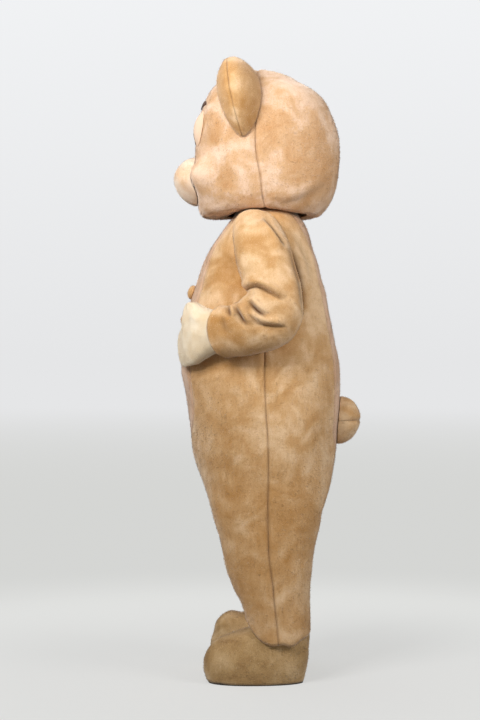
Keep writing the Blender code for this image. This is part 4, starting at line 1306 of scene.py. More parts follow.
@dataclass
class Grid:
    """A piece's outer points, row by row, with what its wall and pile need."""

    outer: Points
    away: Points
    seam: Points
    closed: bool = False
    shade: Points = field(default_factory=lambda: np.zeros(0))
    folded: "Relief | None" = None
    plain: Points = field(default_factory=lambda: np.zeros(0))  # unfolded left-hand points and normals

    @classmethod
    def of(cls, surface: Surface, angle: Points, row: Points) -> "Grid":
        """Samples an open surface by angle and row, with seams along its side edges."""
        outer, away = sampled(surface, angle, row)
        return cls(outer, away, seam_distance(outer, False))

    @classmethod
    def around(cls, outer: Points, middle: Points, closed: bool = False) -> "Grid":
        """A grid of given points.

        Args:
            outer: Points, row by row.
            middle: What its normals point away from.
            closed: True if the last column meets the first one.

        Returns:
            The grid.
        """
        away = grid_normals(outer, unit(outer - middle), closed)
        return cls(outer, away, seam_distance(outer, closed), closed)

    def mirrored(self, side: Side) -> "Grid":
        """The same grid on the given side of the bear.

        Args:
            side: The side.

        Returns:
            The grid, flipped for the right side.
        """
        if side is Side.LEFT:
            return self
        flip = np.array([-1.0, 1.0, 1.0])
        kept = {name: getattr(self, name) for name in ("seam", "shade", "plain")}
        turned = {name: values[:, ::-1] for name, values in kept.items() if values.size}
        return replace(
            self, outer=(self.outer * flip)[:, ::-1], away=(self.away * flip)[:, ::-1], **turned
        )

    def moved(self, outer: Points) -> "Grid":
        """The same grid with its points moved."""
        return replace(self, outer=outer, away=grid_normals(outer, self.away, self.closed))

    def shaped(self, relief: Relief) -> "Grid":
        """The grid with its folds, unevenness and seams."""
        move, shade = relief.read(self.outer, self.away, self.seam)
        outer = self.outer + self.away * (move - PILE_INSET)[..., None]
        plain = np.concatenate([self.outer, self.away], axis=-1)
        return replace(self.moved(outer), shade=shade, folded=relief, plain=plain)

    def inner(self, wall: float) -> Points:
        """Points of the wall's inside, its sewn edges reaching a little under the next piece."""
        inner = self.outer - self.away * wall
        if not self.closed:
            for edge, beside in ((0, 1), (-1, -2)):
                inner[:, edge] += unit(inner[:, edge] - inner[:, beside]) * SEAM_ALLOWANCE
        return inner


def seam_distance(points: Points, closed: bool) -> Points:
    """Distance along the cloth from each point to the nearer side edge.

    Args:
        points: Points, row by row.
        closed: True if the side edges meet, so that they are no seam.

    Returns:
        Distances in metres.
    """
    if closed:
        return np.full(points.shape[:2], FAR)
    run = run_along(points, 1)
    return np.minimum(FAR, np.minimum(run, run[:, -1:] - run))


def grid_normals(points: Points, like: Points, closed: bool) -> Points:
    """Unit normals of a grid, on the side of given rough normals.

    Args:
        points: Points, row by row.
        like: Rough normals.
        closed: True if the last column repeats the first.

    Returns:
        Normals; where a row is gathered into a point, the rough ones.
    """
    padded = np.concatenate([points[:, -2:-1], points, points[:, 1:2]], axis=1) if closed else None
    around = padded[:, 2:] - padded[:, :-2] if padded is not None else np.gradient(points, axis=1)
    cross = np.cross(around, np.gradient(points, axis=0))
    size = np.linalg.norm(cross, axis=-1, keepdims=True)
    made = cross / np.maximum(size, 1e-12)
    made = made * np.where(np.sum(made * like, axis=-1, keepdims=True) < 0, -1.0, 1.0)
    return np.where(size < 1e-9, like, unit(made))


Finish = Plush | Felt


@dataclass(frozen=True)
class BladeCut:
    """What every pile's blades are drawn from; lengths in metres, lifts in degrees."""

    raised: float = 0.25  # share of the blades that stand up, and so have a back of their own
    steep: tuple[float, float] = (30, 60)  # lift of the raised ones
    flat: tuple[float, float] = (4, 16)  # lift of the others
    brushed: Place = (0.0, 0.30, -1.0)
    swirl: float = 0.9
    nap_turn: float = 0.6
    stray: float = 0.45
    length: tuple[float, float] = (0.6, 1.1)
    half_width: float = 0.00052
    width: tuple[float, float] = (0.7, 1.3)
    sunk: float = 0.0006
    back_gap: float = 0.00008
    seam_short: float = 0.55
    seam_reach: float = 0.004
    tuft_length: float = 0.16
    fold_press: float = 1.6
    fold_short: float = 0.6
    tuft_tone: float = 0.12
    tip_tone: float = 0.34
    tone_stray: float = 0.28
    # ridge_tone lightens the pile on the puffed ridge beside each seam and turned edge: a painted highlight.
    ridge_tone: float = 0.30
    ridge_place: float = 0.008
    seam_dark: tuple[float, float] = (0.62, 0.38)


class Workshop:
    """Makes the pieces, rides them on the frame and keeps count."""

    cut = BladeCut()
    sharp = math.radians(50)  # an edge of a rigid piece that turns more than this stays sharp

    def __init__(self) -> None:
        """Starts with no finishes made."""
        self.materials: dict[str, Any] = {}
        self.count = 0

    def finish(self, finish: Finish) -> bpy.types.Material:
        """The finish's cloth material, made once."""
        if finish.name not in self.materials:
            self.materials[finish.name] = finish.cloth()
        return self.materials[finish.name]

    def pile(self, finish: Plush) -> list[bpy.types.Material]:
        """The finish's strand materials, made once."""
        key = finish.name + "_pile"
        if key not in self.materials:
            self.materials[key] = finish.strands()
        return self.materials[key]

    def mesh(
        self, name: str, points: Points, faces: Points, flat: Points, kept: dict[str, Points], finish: Finish
    ) -> bpy.types.Mesh:
        """Makes a smooth mesh, with points that coincide joined.

        Args:
            name: Its name.
            points: Its points.
            faces: Four point numbers for each face.
            flat: The place of each point on the bake map.
            kept: Numbers kept on the points, by name.
            finish: What it is made of.

        Returns:
            The mesh.
        """
        mesh = bpy.data.meshes.new(name)
        mesh.from_pydata((points - HOLD_HEIGHT * UP).tolist(), [], faces.tolist())
        for key, values in kept.items():
            self.keep(mesh, key, values)
        layer = mesh.uv_layers.new(name=BAKE_MAP)
        layer.uv.foreach_set("vector", flat[faces.reshape(-1)].astype(np.float32).reshape(-1))
        build = bmesh.new()
        build.from_mesh(mesh)
        bmesh.ops.remove_doubles(build, verts=build.verts, dist=JOIN)
        bmesh.ops.recalc_face_normals(build, faces=build.faces)
        build.to_mesh(mesh)
        build.free()
        mesh.shade_smooth()
        mesh.materials.append(self.finish(finish))
        return mesh

    def wall(self, name: str, grid: Grid, wall: float, finish: Finish) -> bpy.types.Object:
        """Makes the closed wall of a piece.

        Args:
            name: The piece's name.
            grid: Its outer points.
            wall: Its thickness.
            finish: What it is made of.

        Returns:
            The piece.
        """
        rows, columns = grid.outer.shape[:2]
        points = np.concatenate([grid.outer.reshape(-1, 3), grid.inner(wall).reshape(-1, 3)])
        number, squares = numbered(rows, columns)
        lines = [number[0], number[-1, ::-1]]
        if not grid.closed:
            lines += [number[:, -1], number[::-1, 0]]
        under = number.size
        edge = [np.stack([l[1:], l[:-1], l[:-1] + under, l[1:] + under], 1) for l in lines]
        faces = np.concatenate([squares, squares[:, ::-1] + under, *edge])
        shade = grid.shade if grid.shade.size else np.zeros((rows, columns))
        stitch = bell(grid.seam.reshape(-1), STITCH_REACH)
        # The folds' shade is kept on the points as crease, and the cloth material paints it as darker colour:
        # painted shade.
        kept = {"nap": nap_at(points), "crease": np.tile(shade.reshape(-1), 2), "seam": np.tile(stitch, 2)}
        across, up = np.meshgrid(np.linspace(0.01, 0.61, columns), np.linspace(0.01, 0.99, rows))
        maps = [np.stack([across, up], axis=-1), np.stack([0.64 + (across - 0.01) * 0.58, up], axis=-1)]
        flat = np.concatenate([part.reshape(-1, 2) for part in maps])
        mesh = self.mesh(name, points, faces, flat, kept, finish)
        return self.placed(bpy.data.objects.new(name, mesh), finish.slot)

    def solid(self, name: str, node: str, rows: Points, side: Side, finish: Felt) -> bpy.types.Object:
        """Makes a closed solid from rings that start and end in a point.

        Args:
            name: The piece's name.
            node: The solid that it stands for.
            rows: Rings of points of the left one.
            side: The side it belongs to.
            finish: What it is made of.

        Returns:
            The piece.
        """
        count, around = rows.shape[:2]
        points = (rows * [side.value, 1, 1]).reshape(-1, 3)
        kept = {key: np.zeros(len(points)) for key in ("nap", "crease", "seam")}
        across, up = np.meshgrid(np.linspace(0.01, 0.99, around), np.linspace(0.01, 0.99, count))
        flat = np.stack([across, up], axis=-1).reshape(-1, 2)
        mesh = self.mesh(name, points, numbered(count, around)[1], flat, kept, finish)
        mesh.set_sharp_from_angle(angle=self.sharp)
        piece = self.placed(bpy.data.objects.new(name, mesh), finish.slot)
        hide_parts(node)
        return piece

    @staticmethod
    def keep(mesh: bpy.types.Mesh, name: str, values: Points) -> None:
        """Keeps a number on each of a mesh's points."""
        layer = mesh.attributes.new(name, "FLOAT", "POINT")
        layer.data.foreach_set("value", np.asarray(values, np.float32).reshape(-1))

    def strands(self, name: str, grid: Grid, finish: Plush, seed: int) -> bpy.types.Object:
        """Grows a piece's pile as thin single blades that lie along the brushed nap.

        Args:
            name: The pile's name.
            grid: The cloth's outer points.
            finish: The plush.
            seed: Seed of its draws.

        Returns:
            The pile.
        """
        cut, draw = self.cut, np.random.default_rng(seed)
        corner = [grid.outer[:-1, :-1], grid.outer[:-1, 1:], grid.outer[1:, 1:], grid.outer[1:, :-1]]
        area = np.linalg.norm(np.cross(corner[2] - corner[0], corner[3] - corner[1]), axis=-1) / 2
        count = int(area.sum() * finish.density)
        chosen = draw.choice(area.size, count, p=(area / area.sum()).reshape(-1))
        row, column = np.unravel_index(chosen, area.shape)
        u, v = draw.random((2, count))

        def at(values: Points) -> Points:
            """Values of the grid at the drawn places."""
            shape = (-1,) + (1,) * (values.ndim - 2)
            a, b = u.reshape(shape), v.reshape(shape)
            low = values[row, column] * (1 - a) + values[row, column + 1] * a
            high = values[row + 1, column] * (1 - a) + values[row + 1, column + 1] * a
            return low * (1 - b) + high * b

        root, away, seam = at(grid.outer), unit(at(grid.away)), at(grid.seam)
        shade = np.zeros(count)
        if grid.folded:
            plain = at(grid.plain)
            shade = grid.folded.creased(plain[:, :3], unit(plain[:, 3:]))
        pressed = np.minimum(cut.fold_press * np.sqrt(shade), 1.0)  # short and flat in a crease
        nap = nap_at(root)
        lie = unit(np.array(cut.brushed) - away * (away @ np.array(cut.brushed))[:, None] + 1e-6)
        turn = cut.swirl * NAP_SWIRL.at(root) + cut.nap_turn * (nap - 0.5) + draw.normal(0, cut.stray, count)
        lie = lie * np.cos(turn)[:, None] + np.cross(away, lie) * np.sin(turn)[:, None]
        raised = draw.random(count) < cut.raised
        lift = np.radians(np.where(raised, draw.uniform(*cut.steep, count), draw.uniform(*cut.flat, count)))
        size = draw.uniform(*cut.length, count) * (1 - cut.seam_short * bell(seam, cut.seam_reach))
        tufts = 1 + cut.tuft_length * np.clip(TUFT.at(root + 0.5), -1, 1)
        reach = finish.pile_length * (size * tufts * (1 - cut.fold_short * pressed))
        way = away * np.sin(lift)[:, None] + lie * np.cos(lift)[:, None]
        half = np.cross(away, lie) * (cut.half_width * draw.uniform(*cut.width, count))[:, None]
        start = root - away * cut.sunk
        blades = np.stack([start + half, start - half, root + reach[:, None] * way], axis=1)
        blades[..., 2] = np.maximum(blades[..., 2], FLOOR_GAP)
        level = nap + cut.tuft_tone * TUFT.at(root) + cut.tip_tone * TIP.at(root)
        level = level + draw.normal(0, cut.tone_stray, count)
        # Painted highlight: lighter blades on the ridge a little off each seam and turned edge.
        level = level + cut.ridge_tone * bell(seam - cut.ridge_place, cut.seam_reach)
        tint = np.clip(1 + np.floor(level * (finish.tints - 1)), 1, finish.tints - 1)
        # Blades deep in a crease take the dark tint 0, which is painted shade. Blades on a seam take it as
        # the dark stitch line.
        sewn = (cut.seam_dark[0] + cut.seam_dark[1] * PUCKER.at(root * 1.7)) * bell(seam, STITCH_REACH)
        dark = (cut.fold_press * shade + sewn) > draw.random(count)
        tint = np.where(dark, 0, tint).astype(np.int32)
        facing = unit(away + cut.stray * draw.normal(size=(count, 3)))
        behind = cut.back_gap * unit(np.cross(half, way))[raised]
        blades = np.concatenate([blades, blades[raised][:, ::-1] + behind[:, None]])
        facing, tint = (np.concatenate([values, values[raised]]) for values in (facing, tint))
        return self.blades(name, blades, facing, tint, finish)

    def blades(
        self, name: str, blades: Points, facing: Points, tint: Points, finish: Plush
    ) -> bpy.types.Object:
        """Joins blades into one piece.

        Args:
            name: Its name.
            blades: Three corners for each blade.
            facing: The normal each blade is shaded with.
            tint: Each blade's material.
            finish: The plush.

        Returns:
            The piece.
        """
        count = len(blades)
        mesh = bpy.data.meshes.new(name)
        mesh.vertices.add(count * 3)
        mesh.loops.add(count * 3)
        mesh.polygons.add(count)
        lowered = (blades - HOLD_HEIGHT * UP).astype(np.float32)
        mesh.vertices.foreach_set("co", lowered.reshape(-1))
        mesh.loops.foreach_set("vertex_index", np.arange(count * 3, dtype=np.int32))
        mesh.polygons.foreach_set("loop_start", np.arange(0, count * 3, 3, dtype=np.int32))
        mesh.update(calc_edges=True)
        for material in self.pile(finish):
            mesh.materials.append(material)
        mesh.polygons.foreach_set("material_index", tint)
        mesh.shade_smooth()
        mesh.normals_split_custom_set_from_vertices(np.repeat(facing, 3, axis=0).astype(np.float32))
        return self.placed(bpy.data.objects.new(name, mesh), finish.slot)

    def placed(self, piece: bpy.types.Object, slot: str) -> bpy.types.Object:
        """Links a piece, rides it on the body and counts it."""
        bpy.context.scene.collection.objects.link(piece)
        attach(piece, BODY)
        self.count += 1
        LOG.info("%s: %d faces", piece.name, len(piece.data.polygons))
        return piece

    def plush(
        self, name: str, node: str, grid: Grid, wall: float, finish: Plush,
        rests_on: Sequence[str] = (), padded: float | None = None,
    ) -> bpy.types.Object:
        """Makes a plush piece with its pile, in place of its solid.

        Args:
            name: The piece's name.
            node: The solid that it stands for.
            grid: Its shaped outer points.
            wall: Its thickness.
            finish: The plush.
            rests_on: The nodes that carry it; not used.
            padded: How full it is, if it is stuffed.

        Returns:
            The piece.
        """
        piece = self.wall(name, grid, wall, finish)
        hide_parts(node)
        pile = self.strands(name + "_pile", grid, finish, sum(map(ord, name)))
        if padded is None:
            width, length, area = cut_of(grid)
        return piece

    def felt(self, name: str, node: str | None, grid: Grid, wall: float, finish: Felt) -> bpy.types.Object:
        """Makes a small felt piece, in place of its solid where it has one."""
        piece = self.wall(name, grid, wall, finish)
        if node is not None:
            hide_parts(node)
        return piece


def numbered(rows: int, columns: int) -> tuple[Points, Points]:
    """Point numbers of a grid, and the four of each of its squares."""
    number = np.arange(rows * columns).reshape(rows, columns)
    squares = [number[:-1, :-1], number[:-1, 1:], number[1:, 1:], number[1:, :-1]]
    return number, np.stack(squares, axis=-1).reshape(-1, 4)


def cut_of(grid: Grid) -> tuple[float, float, float]:
    """Width, length and area that a piece is cut to, from its own points.

    Args:
        grid: The piece's outer points.

    Returns:
        Sizes in metres and square metres, to the millimetre.
    """
    points = grid.outer
    steps = (np.linalg.norm(np.diff(points, axis=axis), axis=-1) for axis in (1, 0))
    width, length = (float(step.sum(axis=axis).max()) for step, axis in zip(steps, (1, 0)))
    cross = np.cross(points[1:, 1:] - points[:-1, :-1], points[1:, :-1] - points[:-1, 1:])
    area = float(np.linalg.norm(cross, axis=-1).sum() / 2)
    width, length = round(width, 3), round(length, 3)
    return width, length, round(min(max(area, 0.31 * width * length), width * length), 4)


# ---- sub-assemblies ------------------------------------------------------------------------------


@dataclass(frozen=True)
class Roll:
    """How a free edge is turned in: a tuck right at the edge and a soft roll a little above it."""

    tuck: float
    reach: float
    swell: float
    place: float
    breadth: float

    def turned(self, grid: Grid, run: Points, wave: Any = 0.0) -> Grid:
        """A piece with its free edge turned in.

        Args:
            grid: The shaped piece.
            run: Distance of its points from the edge.
            wave: How far its points are moved up.

        Returns:
            The piece.
        """
        inward = self.tuck * bell(run, self.reach) - self.swell * bell(run - self.place, self.breadth)
        outer = grid.outer - grid.away * inward[..., None] + stack(0.0, 0.0, wave)
        # The turned edge counts as a seam, so its pile and cloth are darkened right at the edge, which is
        # painted shade where it meets the next part, and a band a little above it gets a painted highlight.
        return replace(grid.moved(outer), seam=np.minimum(grid.seam, run + EDGE_HOLD))


@dataclass
class Suit:
    """The one-piece suit: front and back panels, belly and centre back panels, sleeves, buttons, tail."""

    shop: Workshop
    form: SuitForm = SUIT
    sleeve_form: SleeveForm = SLEEVE
    cloth: float = 0.0024
    columns: int = 36
    relief: Relief = Relief(BODY_FOLDS)
    button_radius: float = 0.022
    button_height: float = 0.015
    button_rim: float = 0.004
    button_heights: tuple[float, ...] = (1.215, 1.128)
    tail_radius: float = 0.078
    tail_out: float = 0.067
    tail_rim: float = 0.002
    tail_height: float = 0.808
    tail_relief: Relief = Relief(soft=0.0015, fine=0.0008, seam_depth=0.004, seam_width=0.007)
    padded_wall: float = 0.004
    middle_relief: Relief = Relief(soft=0.0010)
    belly_columns: int = 18
    back_columns: int = 16
    panel_margin: float = 0.00075  # share of a panel's width left free for its seams
    soft_from: float = 1.215
    soft_rise: float = 0.03
    soft_seam: float = 0.02
    hem: Roll = Roll(0.0035, 0.006, 0.0015, 0.016, 0.009)
    hem_wave: float = 0.0036
    hem_wave_reach: float = 0.05
    cuff: Roll = Roll(0.0055, 0.005, 0.0050, 0.013, 0.008)
    sleeve_rings: tuple[tuple[float, float, int], ...] = ((1, 3.6, 34), (3.6, 8.4, 66), (8.4, 10, 14))
    root_shares: tuple[float, ...] = (0.0, 0.25, 0.5, 0.75)
    root_seam: float = 0.004
    sleeve_relief: Relief = Relief(SLEEVE_FOLDS, soft=0.0016, fine=0.0005, seam_depth=0.0020)
    right_shift: tuple[float, float] = (0.006, -0.008)

    def make(self) -> None:
        """Makes every piece of the suit."""
        for side in Side:
            self.make_body(side)
            self.make_back_panel(side)
            self.make_sleeve(side)
        self.make_belly()
        self.make_buttons()
        self.make_tail()

    def panel(self, start: Surface, end: Surface, bottom: float, columns: int) -> Grid:
        """A panel between two angles given for each height."""
        level = self.form.levels(bottom)[:, None]
        part = self.panel_margin + (1 - 2 * self.panel_margin) * spread(columns)[None, :]
        angle = start(level) * (1 - part) + end(level) * part
        return Grid.of(self.form.surface, angle, level + 0 * part)

    def make_body(self, side: Side) -> None:
        """Front and back panels of one side, from the shoulder to the hem.

        Args:
            side: The side.
        """
        form = self.form
        for word, start, end in (
            ("front", form.front_start, form.front_end),
            ("back", form.back_start, form.back_end),
        ):
            grid = clear_of_middle(self.panel(start, end, form.hem, self.columns))
            grid.seam = self.eased_armhole(grid, word == "front")
            grid = drawn_to_middle(grid.shaped(self.relief), 0 if word == "front" else -1)
            grid = self.hemmed(grid.mirrored(side))
            self.shop.plush(f"{side.word}_{word}_panel", f"suit_{word}_{side.word}", grid, self.cloth, TAN)

    def eased_armhole(self, grid: Grid, ahead: bool) -> Points:
        """Seam distances that leave the armhole's edge soft.

        Args:
            grid: A front or back panel.
            ahead: True on a front panel, whose last column runs along the armhole.

        Returns:
            Distances in metres.
        """
        run = run_along(grid.outer, 1)
        other = run if ahead else run[:, -1:] - run
        share = ease((grid.outer[..., 2] - self.soft_from) / self.soft_rise)
        return np.minimum(other, grid.seam + share * self.soft_seam)

    def hemmed(self, grid: Grid) -> Grid:
        """Turns the hem in a little, with a slightly wavy edge."""
        run = run_along(grid.outer, 0)
        wave = PUCKER.at(grid.outer * np.array([0.6, 0.6, 0.0]) + 0.06)
        return self.hem.turned(grid, run, self.hem_wave * wave * bell(run, self.hem_wave_reach))

    def make_belly(self) -> None:
        """The centre front panel, rounded at its foot."""
        form = self.form
        left = self.panel(form.centre, form.front_start, form.belly_bottom, self.belly_columns)
        right = left.mirrored(Side.RIGHT)
        outer = np.concatenate([right.outer[:, :-1], left.outer], axis=1)
        away = np.concatenate([right.away[:, :-1], left.away], axis=1)
        outer[0] = outer[0].mean(axis=0)
        grid = Grid(outer, away, seam_distance(outer, False)).shaped(self.middle_relief)
        self.shop.plush("belly", "belly_panel", grid, self.cloth, PINK)

    def make_back_panel(self, side: Side) -> None:
        """One of the two centre back panels, which meet at the back opening."""
        form = self.form
        panel = self.panel(form.back_end, form.middle_back, form.back_bottom, self.back_columns)
        grid = clear_of_middle(panel)
        grid.outer[0] = grid.outer[0].mean(axis=0)
        grid = grid.shaped(self.middle_relief).mirrored(side)
        self.shop.plush(f"{side.word}_centre_back", f"back_panel_{side.word}", grid, self.cloth, PINK)

    def make_sleeve(self, side: Side) -> None:
        """One sleeve, from the armhole to the open cuff, with the folds of the bent elbow.

        Args:
            side: The side.
        """
        root, angle = self.sleeve_form.root(self.form)
        root = root - unit(root - root.mean(axis=0)) * SEAM_GAP
        root = np.concatenate([root, root[:1]])
        rings = np.unique(np.concatenate([np.linspace(*part) for part in self.sleeve_rings]))
        turn, ring = np.meshgrid(np.append(angle, angle[0]), rings)
        outer, away = sampled(self.sleeve_form.surface, turn, ring)
        joined = [root * (1 - share) + outer[0] * share for share in self.root_shares]
        outer = np.concatenate([np.array(joined), outer])
        away = np.concatenate([np.repeat(away[:1], len(joined), axis=0), away])
        seam = np.linalg.norm(outer - outer[:1], axis=-1) + self.root_seam
        relief = self.sleeve_relief
        if side is Side.RIGHT:
            relief = replace(relief, shift=self.right_shift)
        grid = Grid(outer, away, seam, True).shaped(relief)
        cuffed = self.cuff.turned(grid, run_along(grid.outer[::-1], 0)[::-1]).mirrored(side)
        self.shop.plush(f"{side.word}_sleeve", f"sleeve_{side.word}", cuffed, self.cloth, TAN)

    def make_buttons(self) -> None:
        """The plush-covered buttons on the belly."""
        for number, height in enumerate(self.button_heights, start=1):
            radii = (self.button_radius, self.button_radius)
            dome = Dome((0.0, height), radii, self.button_height, self.button_rim, gap=SEAM_GAP)
            grid = dome.grid(self.form.on_front, -1, 15, 48)
            name = f"plush_button_{number}"
            self.shop.plush(name, f"button_{number}", grid, self.padded_wall, TAN, padded=0.8)

    def make_tail(self) -> None:
        """The ball tail in an upper and a lower half."""
        place, radii = (0.0, self.tail_height), (self.tail_radius, self.tail_radius)
        for name, turns, lift in (("upper", (0.0, 180.0), 1), ("lower", (180.0, 360.0), -1)):
            dome = Dome(place, radii, self.tail_out, self.tail_rim, turns)
            grid = dome.grid(self.form.on_back, 1, 26, 48, level=True)
            grid.outer[..., 2] += lift * SEAM_GAP / 2
            grid = grid.shaped(self.tail_relief)
            self.shop.plush(f"tail_{name}_half", f"tail_{name}", grid, self.padded_wall, TAN, padded=0.9)


def clear_of_middle(grid: Grid) -> Grid:
    """Holds a left piece half a seam gap off the body's middle plane."""
    grid.outer[..., 0] = np.maximum(grid.outer[..., 0], SEAM_GAP / 2)
    return grid


def drawn_to_middle(grid: Grid, column: int) -> Grid:
    """Draws a left piece's centre seam back to the middle plane where its plain form touches it.

    Args:
        grid: The shaped piece.
        column: The column of its centre seam.

    Returns:
        The piece with its seam closed.
    """
    plain = grid.plain[:, column, 0]
    off = (grid.outer[:, column, 0] - plain) * (1 - ease(plain / (2 * MIDDLE_REACH)))
    run = np.linalg.norm(grid.outer - grid.outer[:, column][:, None], axis=-1)
    outer = grid.outer.copy()
    outer[..., 0] -= off[:, None] * bell(run, MIDDLE_REACH)
    return grid.moved(outer)


@dataclass(frozen=True)
class Dome:
    """A domed piece laid on a field of points, whole or cut from one turn to another."""

    place: tuple[float, float]
    radii: tuple[float, float]
    out: float
    rim: float
    turns: tuple[float, float] = FULL_TURN
    tilt: float = 0.0
    arch: float = 0.0
    gap: float = 0.0012
    fullness: float = 0.5  # power of its section: 0.5 is round, 1 is a shallow lens

    def grid(self, base: Surface, facing: int, rings: int, sides: int, level: bool = False) -> Grid:
        """The dome's outer points.

        Args:
            base: The field it lies on, by sideways place and height.
            facing: -1 on the front, 1 on the back.
            rings: Rings from the rim to the middle.
            sides: Points around each ring.
            level: True if it stands straight out from the field.

        Returns:
            The grid, from the rim to the middle.
        """
        whole = self.turns[1] - self.turns[0] >= 360
        turn = np.radians(np.linspace(*self.turns, sides + 1))[None, :]
        reach = np.sin(np.linspace(math.pi / 2, 0, rings))[:, None]
        along, up = self.radii[0] * reach * np.cos(turn), self.radii[1] * reach * np.sin(turn)
        up = up + self.arch * (1 - (along / self.radii[0]) ** 2) - self.arch / 2
        lean = math.radians(self.tilt)
        x = self.place[0] + along * math.cos(lean) - up * math.sin(lean)
        z = self.place[1] + along * math.sin(lean) + up * math.cos(lean)
        away = field_normals(base, x, z, facing)
        if level:
            away = np.broadcast_to([0.0, float(facing), 0.0], away.shape)
        height = self.gap + self.rim + self.out * (np.clip(1 - reach**2, 0, 1) ** self.fullness)[..., None]
        skirt = base(x[:1], z[:1]) + away[:1] * self.gap
        outer = np.concatenate([skirt, base(x, z) + away * height])
        middle = outer[-1].mean(axis=0)
        grid = Grid.around(outer, middle - away[-1].mean(axis=0) * max(self.radii), whole)
        grid.away[-1] = unit(grid.away[-2].mean(axis=0))
        return grid


@dataclass
class Head:
    """The head: face and back shell, muzzle, nose, eyes, brows and ears."""

    shop: Workshop
    form: HeadForm = HEAD
    ear_form: EarForm = EAR
    wall: float = 0.0055
    ear_wall: float = 0.0045
    muzzle_height: float = 1.5685
    muzzle_half: tuple[float, float] = (0.094, 0.0775)
    muzzle_out: float = 0.0745
    muzzle_wall: float = 0.0045
    groove_share: float = 0.30
    groove_width: float = 0.022
    muzzle_least: float = 0.0012
    muzzle_core: tuple[float, float] = (0.03, -0.20)  # where its normals point away from
    ear_core: Place = (0.04, 0.0, 0.02)  # the same, from the ear's own middle
    shell_relief: Relief = Relief(HEAD_FOLDS, seam_depth=0.0032, seam_width=0.006)
    muzzle_relief: Relief = Relief(soft=0.0008, seam_depth=0.0018, seam_width=0.005)
    ear_relief: Relief = Relief(soft=0.0010, seam_width=0.0045)
    mouth: tuple[float, float, float] = (0.021, 1.538, 0.008)  # half width, height, rise of its ends
    mouth_radius: float = 0.0017
    mouth_out: float = 0.0012
    eye_rim: float = 0.25
    nose: Dome = Dome((0.0, 1.606), (0.021, 0.0165), 0.004, 0.001)
    eye: Dome = Dome((0.077, 1.729), (0.037, 0.057), 0.018, 0.0005, gap=-0.0022, fullness=1.0)
    pupil: Dome = Dome((0.054, 1.703), (0.0125, 0.018), 0.0006, 0.0006, gap=0.0002)
    brow: Dome = Dome((0.070, 1.803), (0.030, 0.0075), 0.002, 0.002, tilt=8.0, arch=0.010, gap=0.0003)

    def make(self) -> None:
        """Makes every piece of the head."""
        self.make_shell()
        for side in Side:
            self.make_muzzle(side)
            self.make_ear(side)
            self.make_eye(side)
        self.shop.felt("nose_felt", "nose", self.nose.grid(self.on_muzzle, -1, 12, 48), 0.004, DARK_FELT)
        self.make_mouth()

    def rows(self) -> Points:
        """Rows of the shell, from the neck rim to the crown."""
        parts = ((0, 4, 0.125), (4, 14, 0.2), (14, self.form.top, 0.25))
        return np.concatenate([*(np.arange(*part) for part in parts), [self.form.top]])

    def shell(self, start: float, end: float, columns: int) -> Grid:
        """Part of the shell between two angles in degrees.

        Args:
            start: First angle.
            end: Last angle.
            columns: How many columns it gets.

        Returns:
            The grid.
        """
        row = self.rows()[:, None]
        part = spread(columns)[None, :]
        angle = np.radians(start * (1 - part) + end * part) + 0 * row
        slope_row = np.minimum(row, self.form.top - 0.02) + 0 * part
        grid = Grid.of(self.form.surface, angle, slope_row)
        grid.outer = self.form.surface(angle, row + 0 * part)
        grid.away[-1] = UP
        return grid

    def make_shell(self) -> None:
        """Face, and the back of the head in two halves."""
        relief = self.shell_relief
        face = self.shell(-90, 90, 86).shaped(relief)
        self.shop.plush("face", "head_face", face, self.wall, HEAD_TAN)
        for side in Side:
            back = clear_of_middle(self.shell(90, 180, 44)).shaped(relief).mirrored(side)
            self.shop.plush(f"{side.word}_head_back", f"head_back_{side.word}", back, self.wall, HEAD_TAN)

    def muzzle_depth(self, x: Points) -> Points:
        """Share of the muzzle's full depth at a sideways place: less in its groove."""
        return 1 - self.groove_share * bell(x, self.groove_width)

    def on_muzzle(self, x: Points, z: Points) -> Points:
        """The point of the muzzle's front at a sideways place and a height."""
        reach = np.hypot(x / self.muzzle_half[0], (z - self.muzzle_height) / self.muzzle_half[1])
        points = self.form.on_face(x, z)
        points[..., 1] -= self.muzzle_out * self.muzzle_depth(x) * np.sqrt(np.clip(1 - reach**2, 0.01, 1))
        return points

    def make_muzzle(self, side: Side) -> None:
        """One lobe of the muzzle.

        Args:
            side: The side.
        """
        angles = np.linspace(math.pi / 2, 0, 40)[:, None]
        turn = np.radians(np.linspace(-90, 90, 56))[None, :]
        x = self.muzzle_half[0] * np.sin(angles) * np.cos(turn)
        z = self.muzzle_height + self.muzzle_half[1] * np.sin(angles) * np.sin(turn)
        outer = self.form.on_face(x, z)
        depth = self.muzzle_out * self.muzzle_depth(x) * np.cos(angles)
        outer[..., 1] -= np.maximum(depth, self.muzzle_least)
        outer[..., 0] = np.maximum(outer[..., 0], SEAM_GAP / 2)
        grid = Grid.around(outer, np.array([*self.muzzle_core, self.muzzle_height]))
        grid.seam = outer[..., 0].copy()  # only the seam between the two lobes is pulled in
        grid = grid.shaped(self.muzzle_relief).mirrored(side)
        name, node = f"{side.word}_muzzle", f"muzzle_{side.word}"
        self.shop.plush(name, node, grid, self.muzzle_wall, MUZZLE_TAN, padded=0.9)

    def make_ear(self, side: Side) -> None:
        """Front and back panel of one ear, sewn together around the rim.

        Args:
            side: The side.
        """
        turns = np.linspace(0.0, math.pi, 64)[:, None]
        form = self.ear_form
        for word, first, last, shift in (("front", 0.0, form.rim, -0.5), ("back", form.rim, form.last, 0.5)):
            steps = np.linspace(first, last, 26)[None, :]
            outer = form.grid(steps + 0 * turns, turns + 0 * steps, self.form)
            grid = Grid.around(outer, np.array(form.middle) + np.array(self.ear_core))
            grid.outer[..., 1] += shift * SEAM_GAP
            grid = grid.shaped(self.ear_relief).mirrored(side)
            name, node = f"{side.word}_ear_{word}", f"ear_{word}_{side.word}"
            self.shop.plush(name, node, grid, self.ear_wall, TAN, ("head_face",))

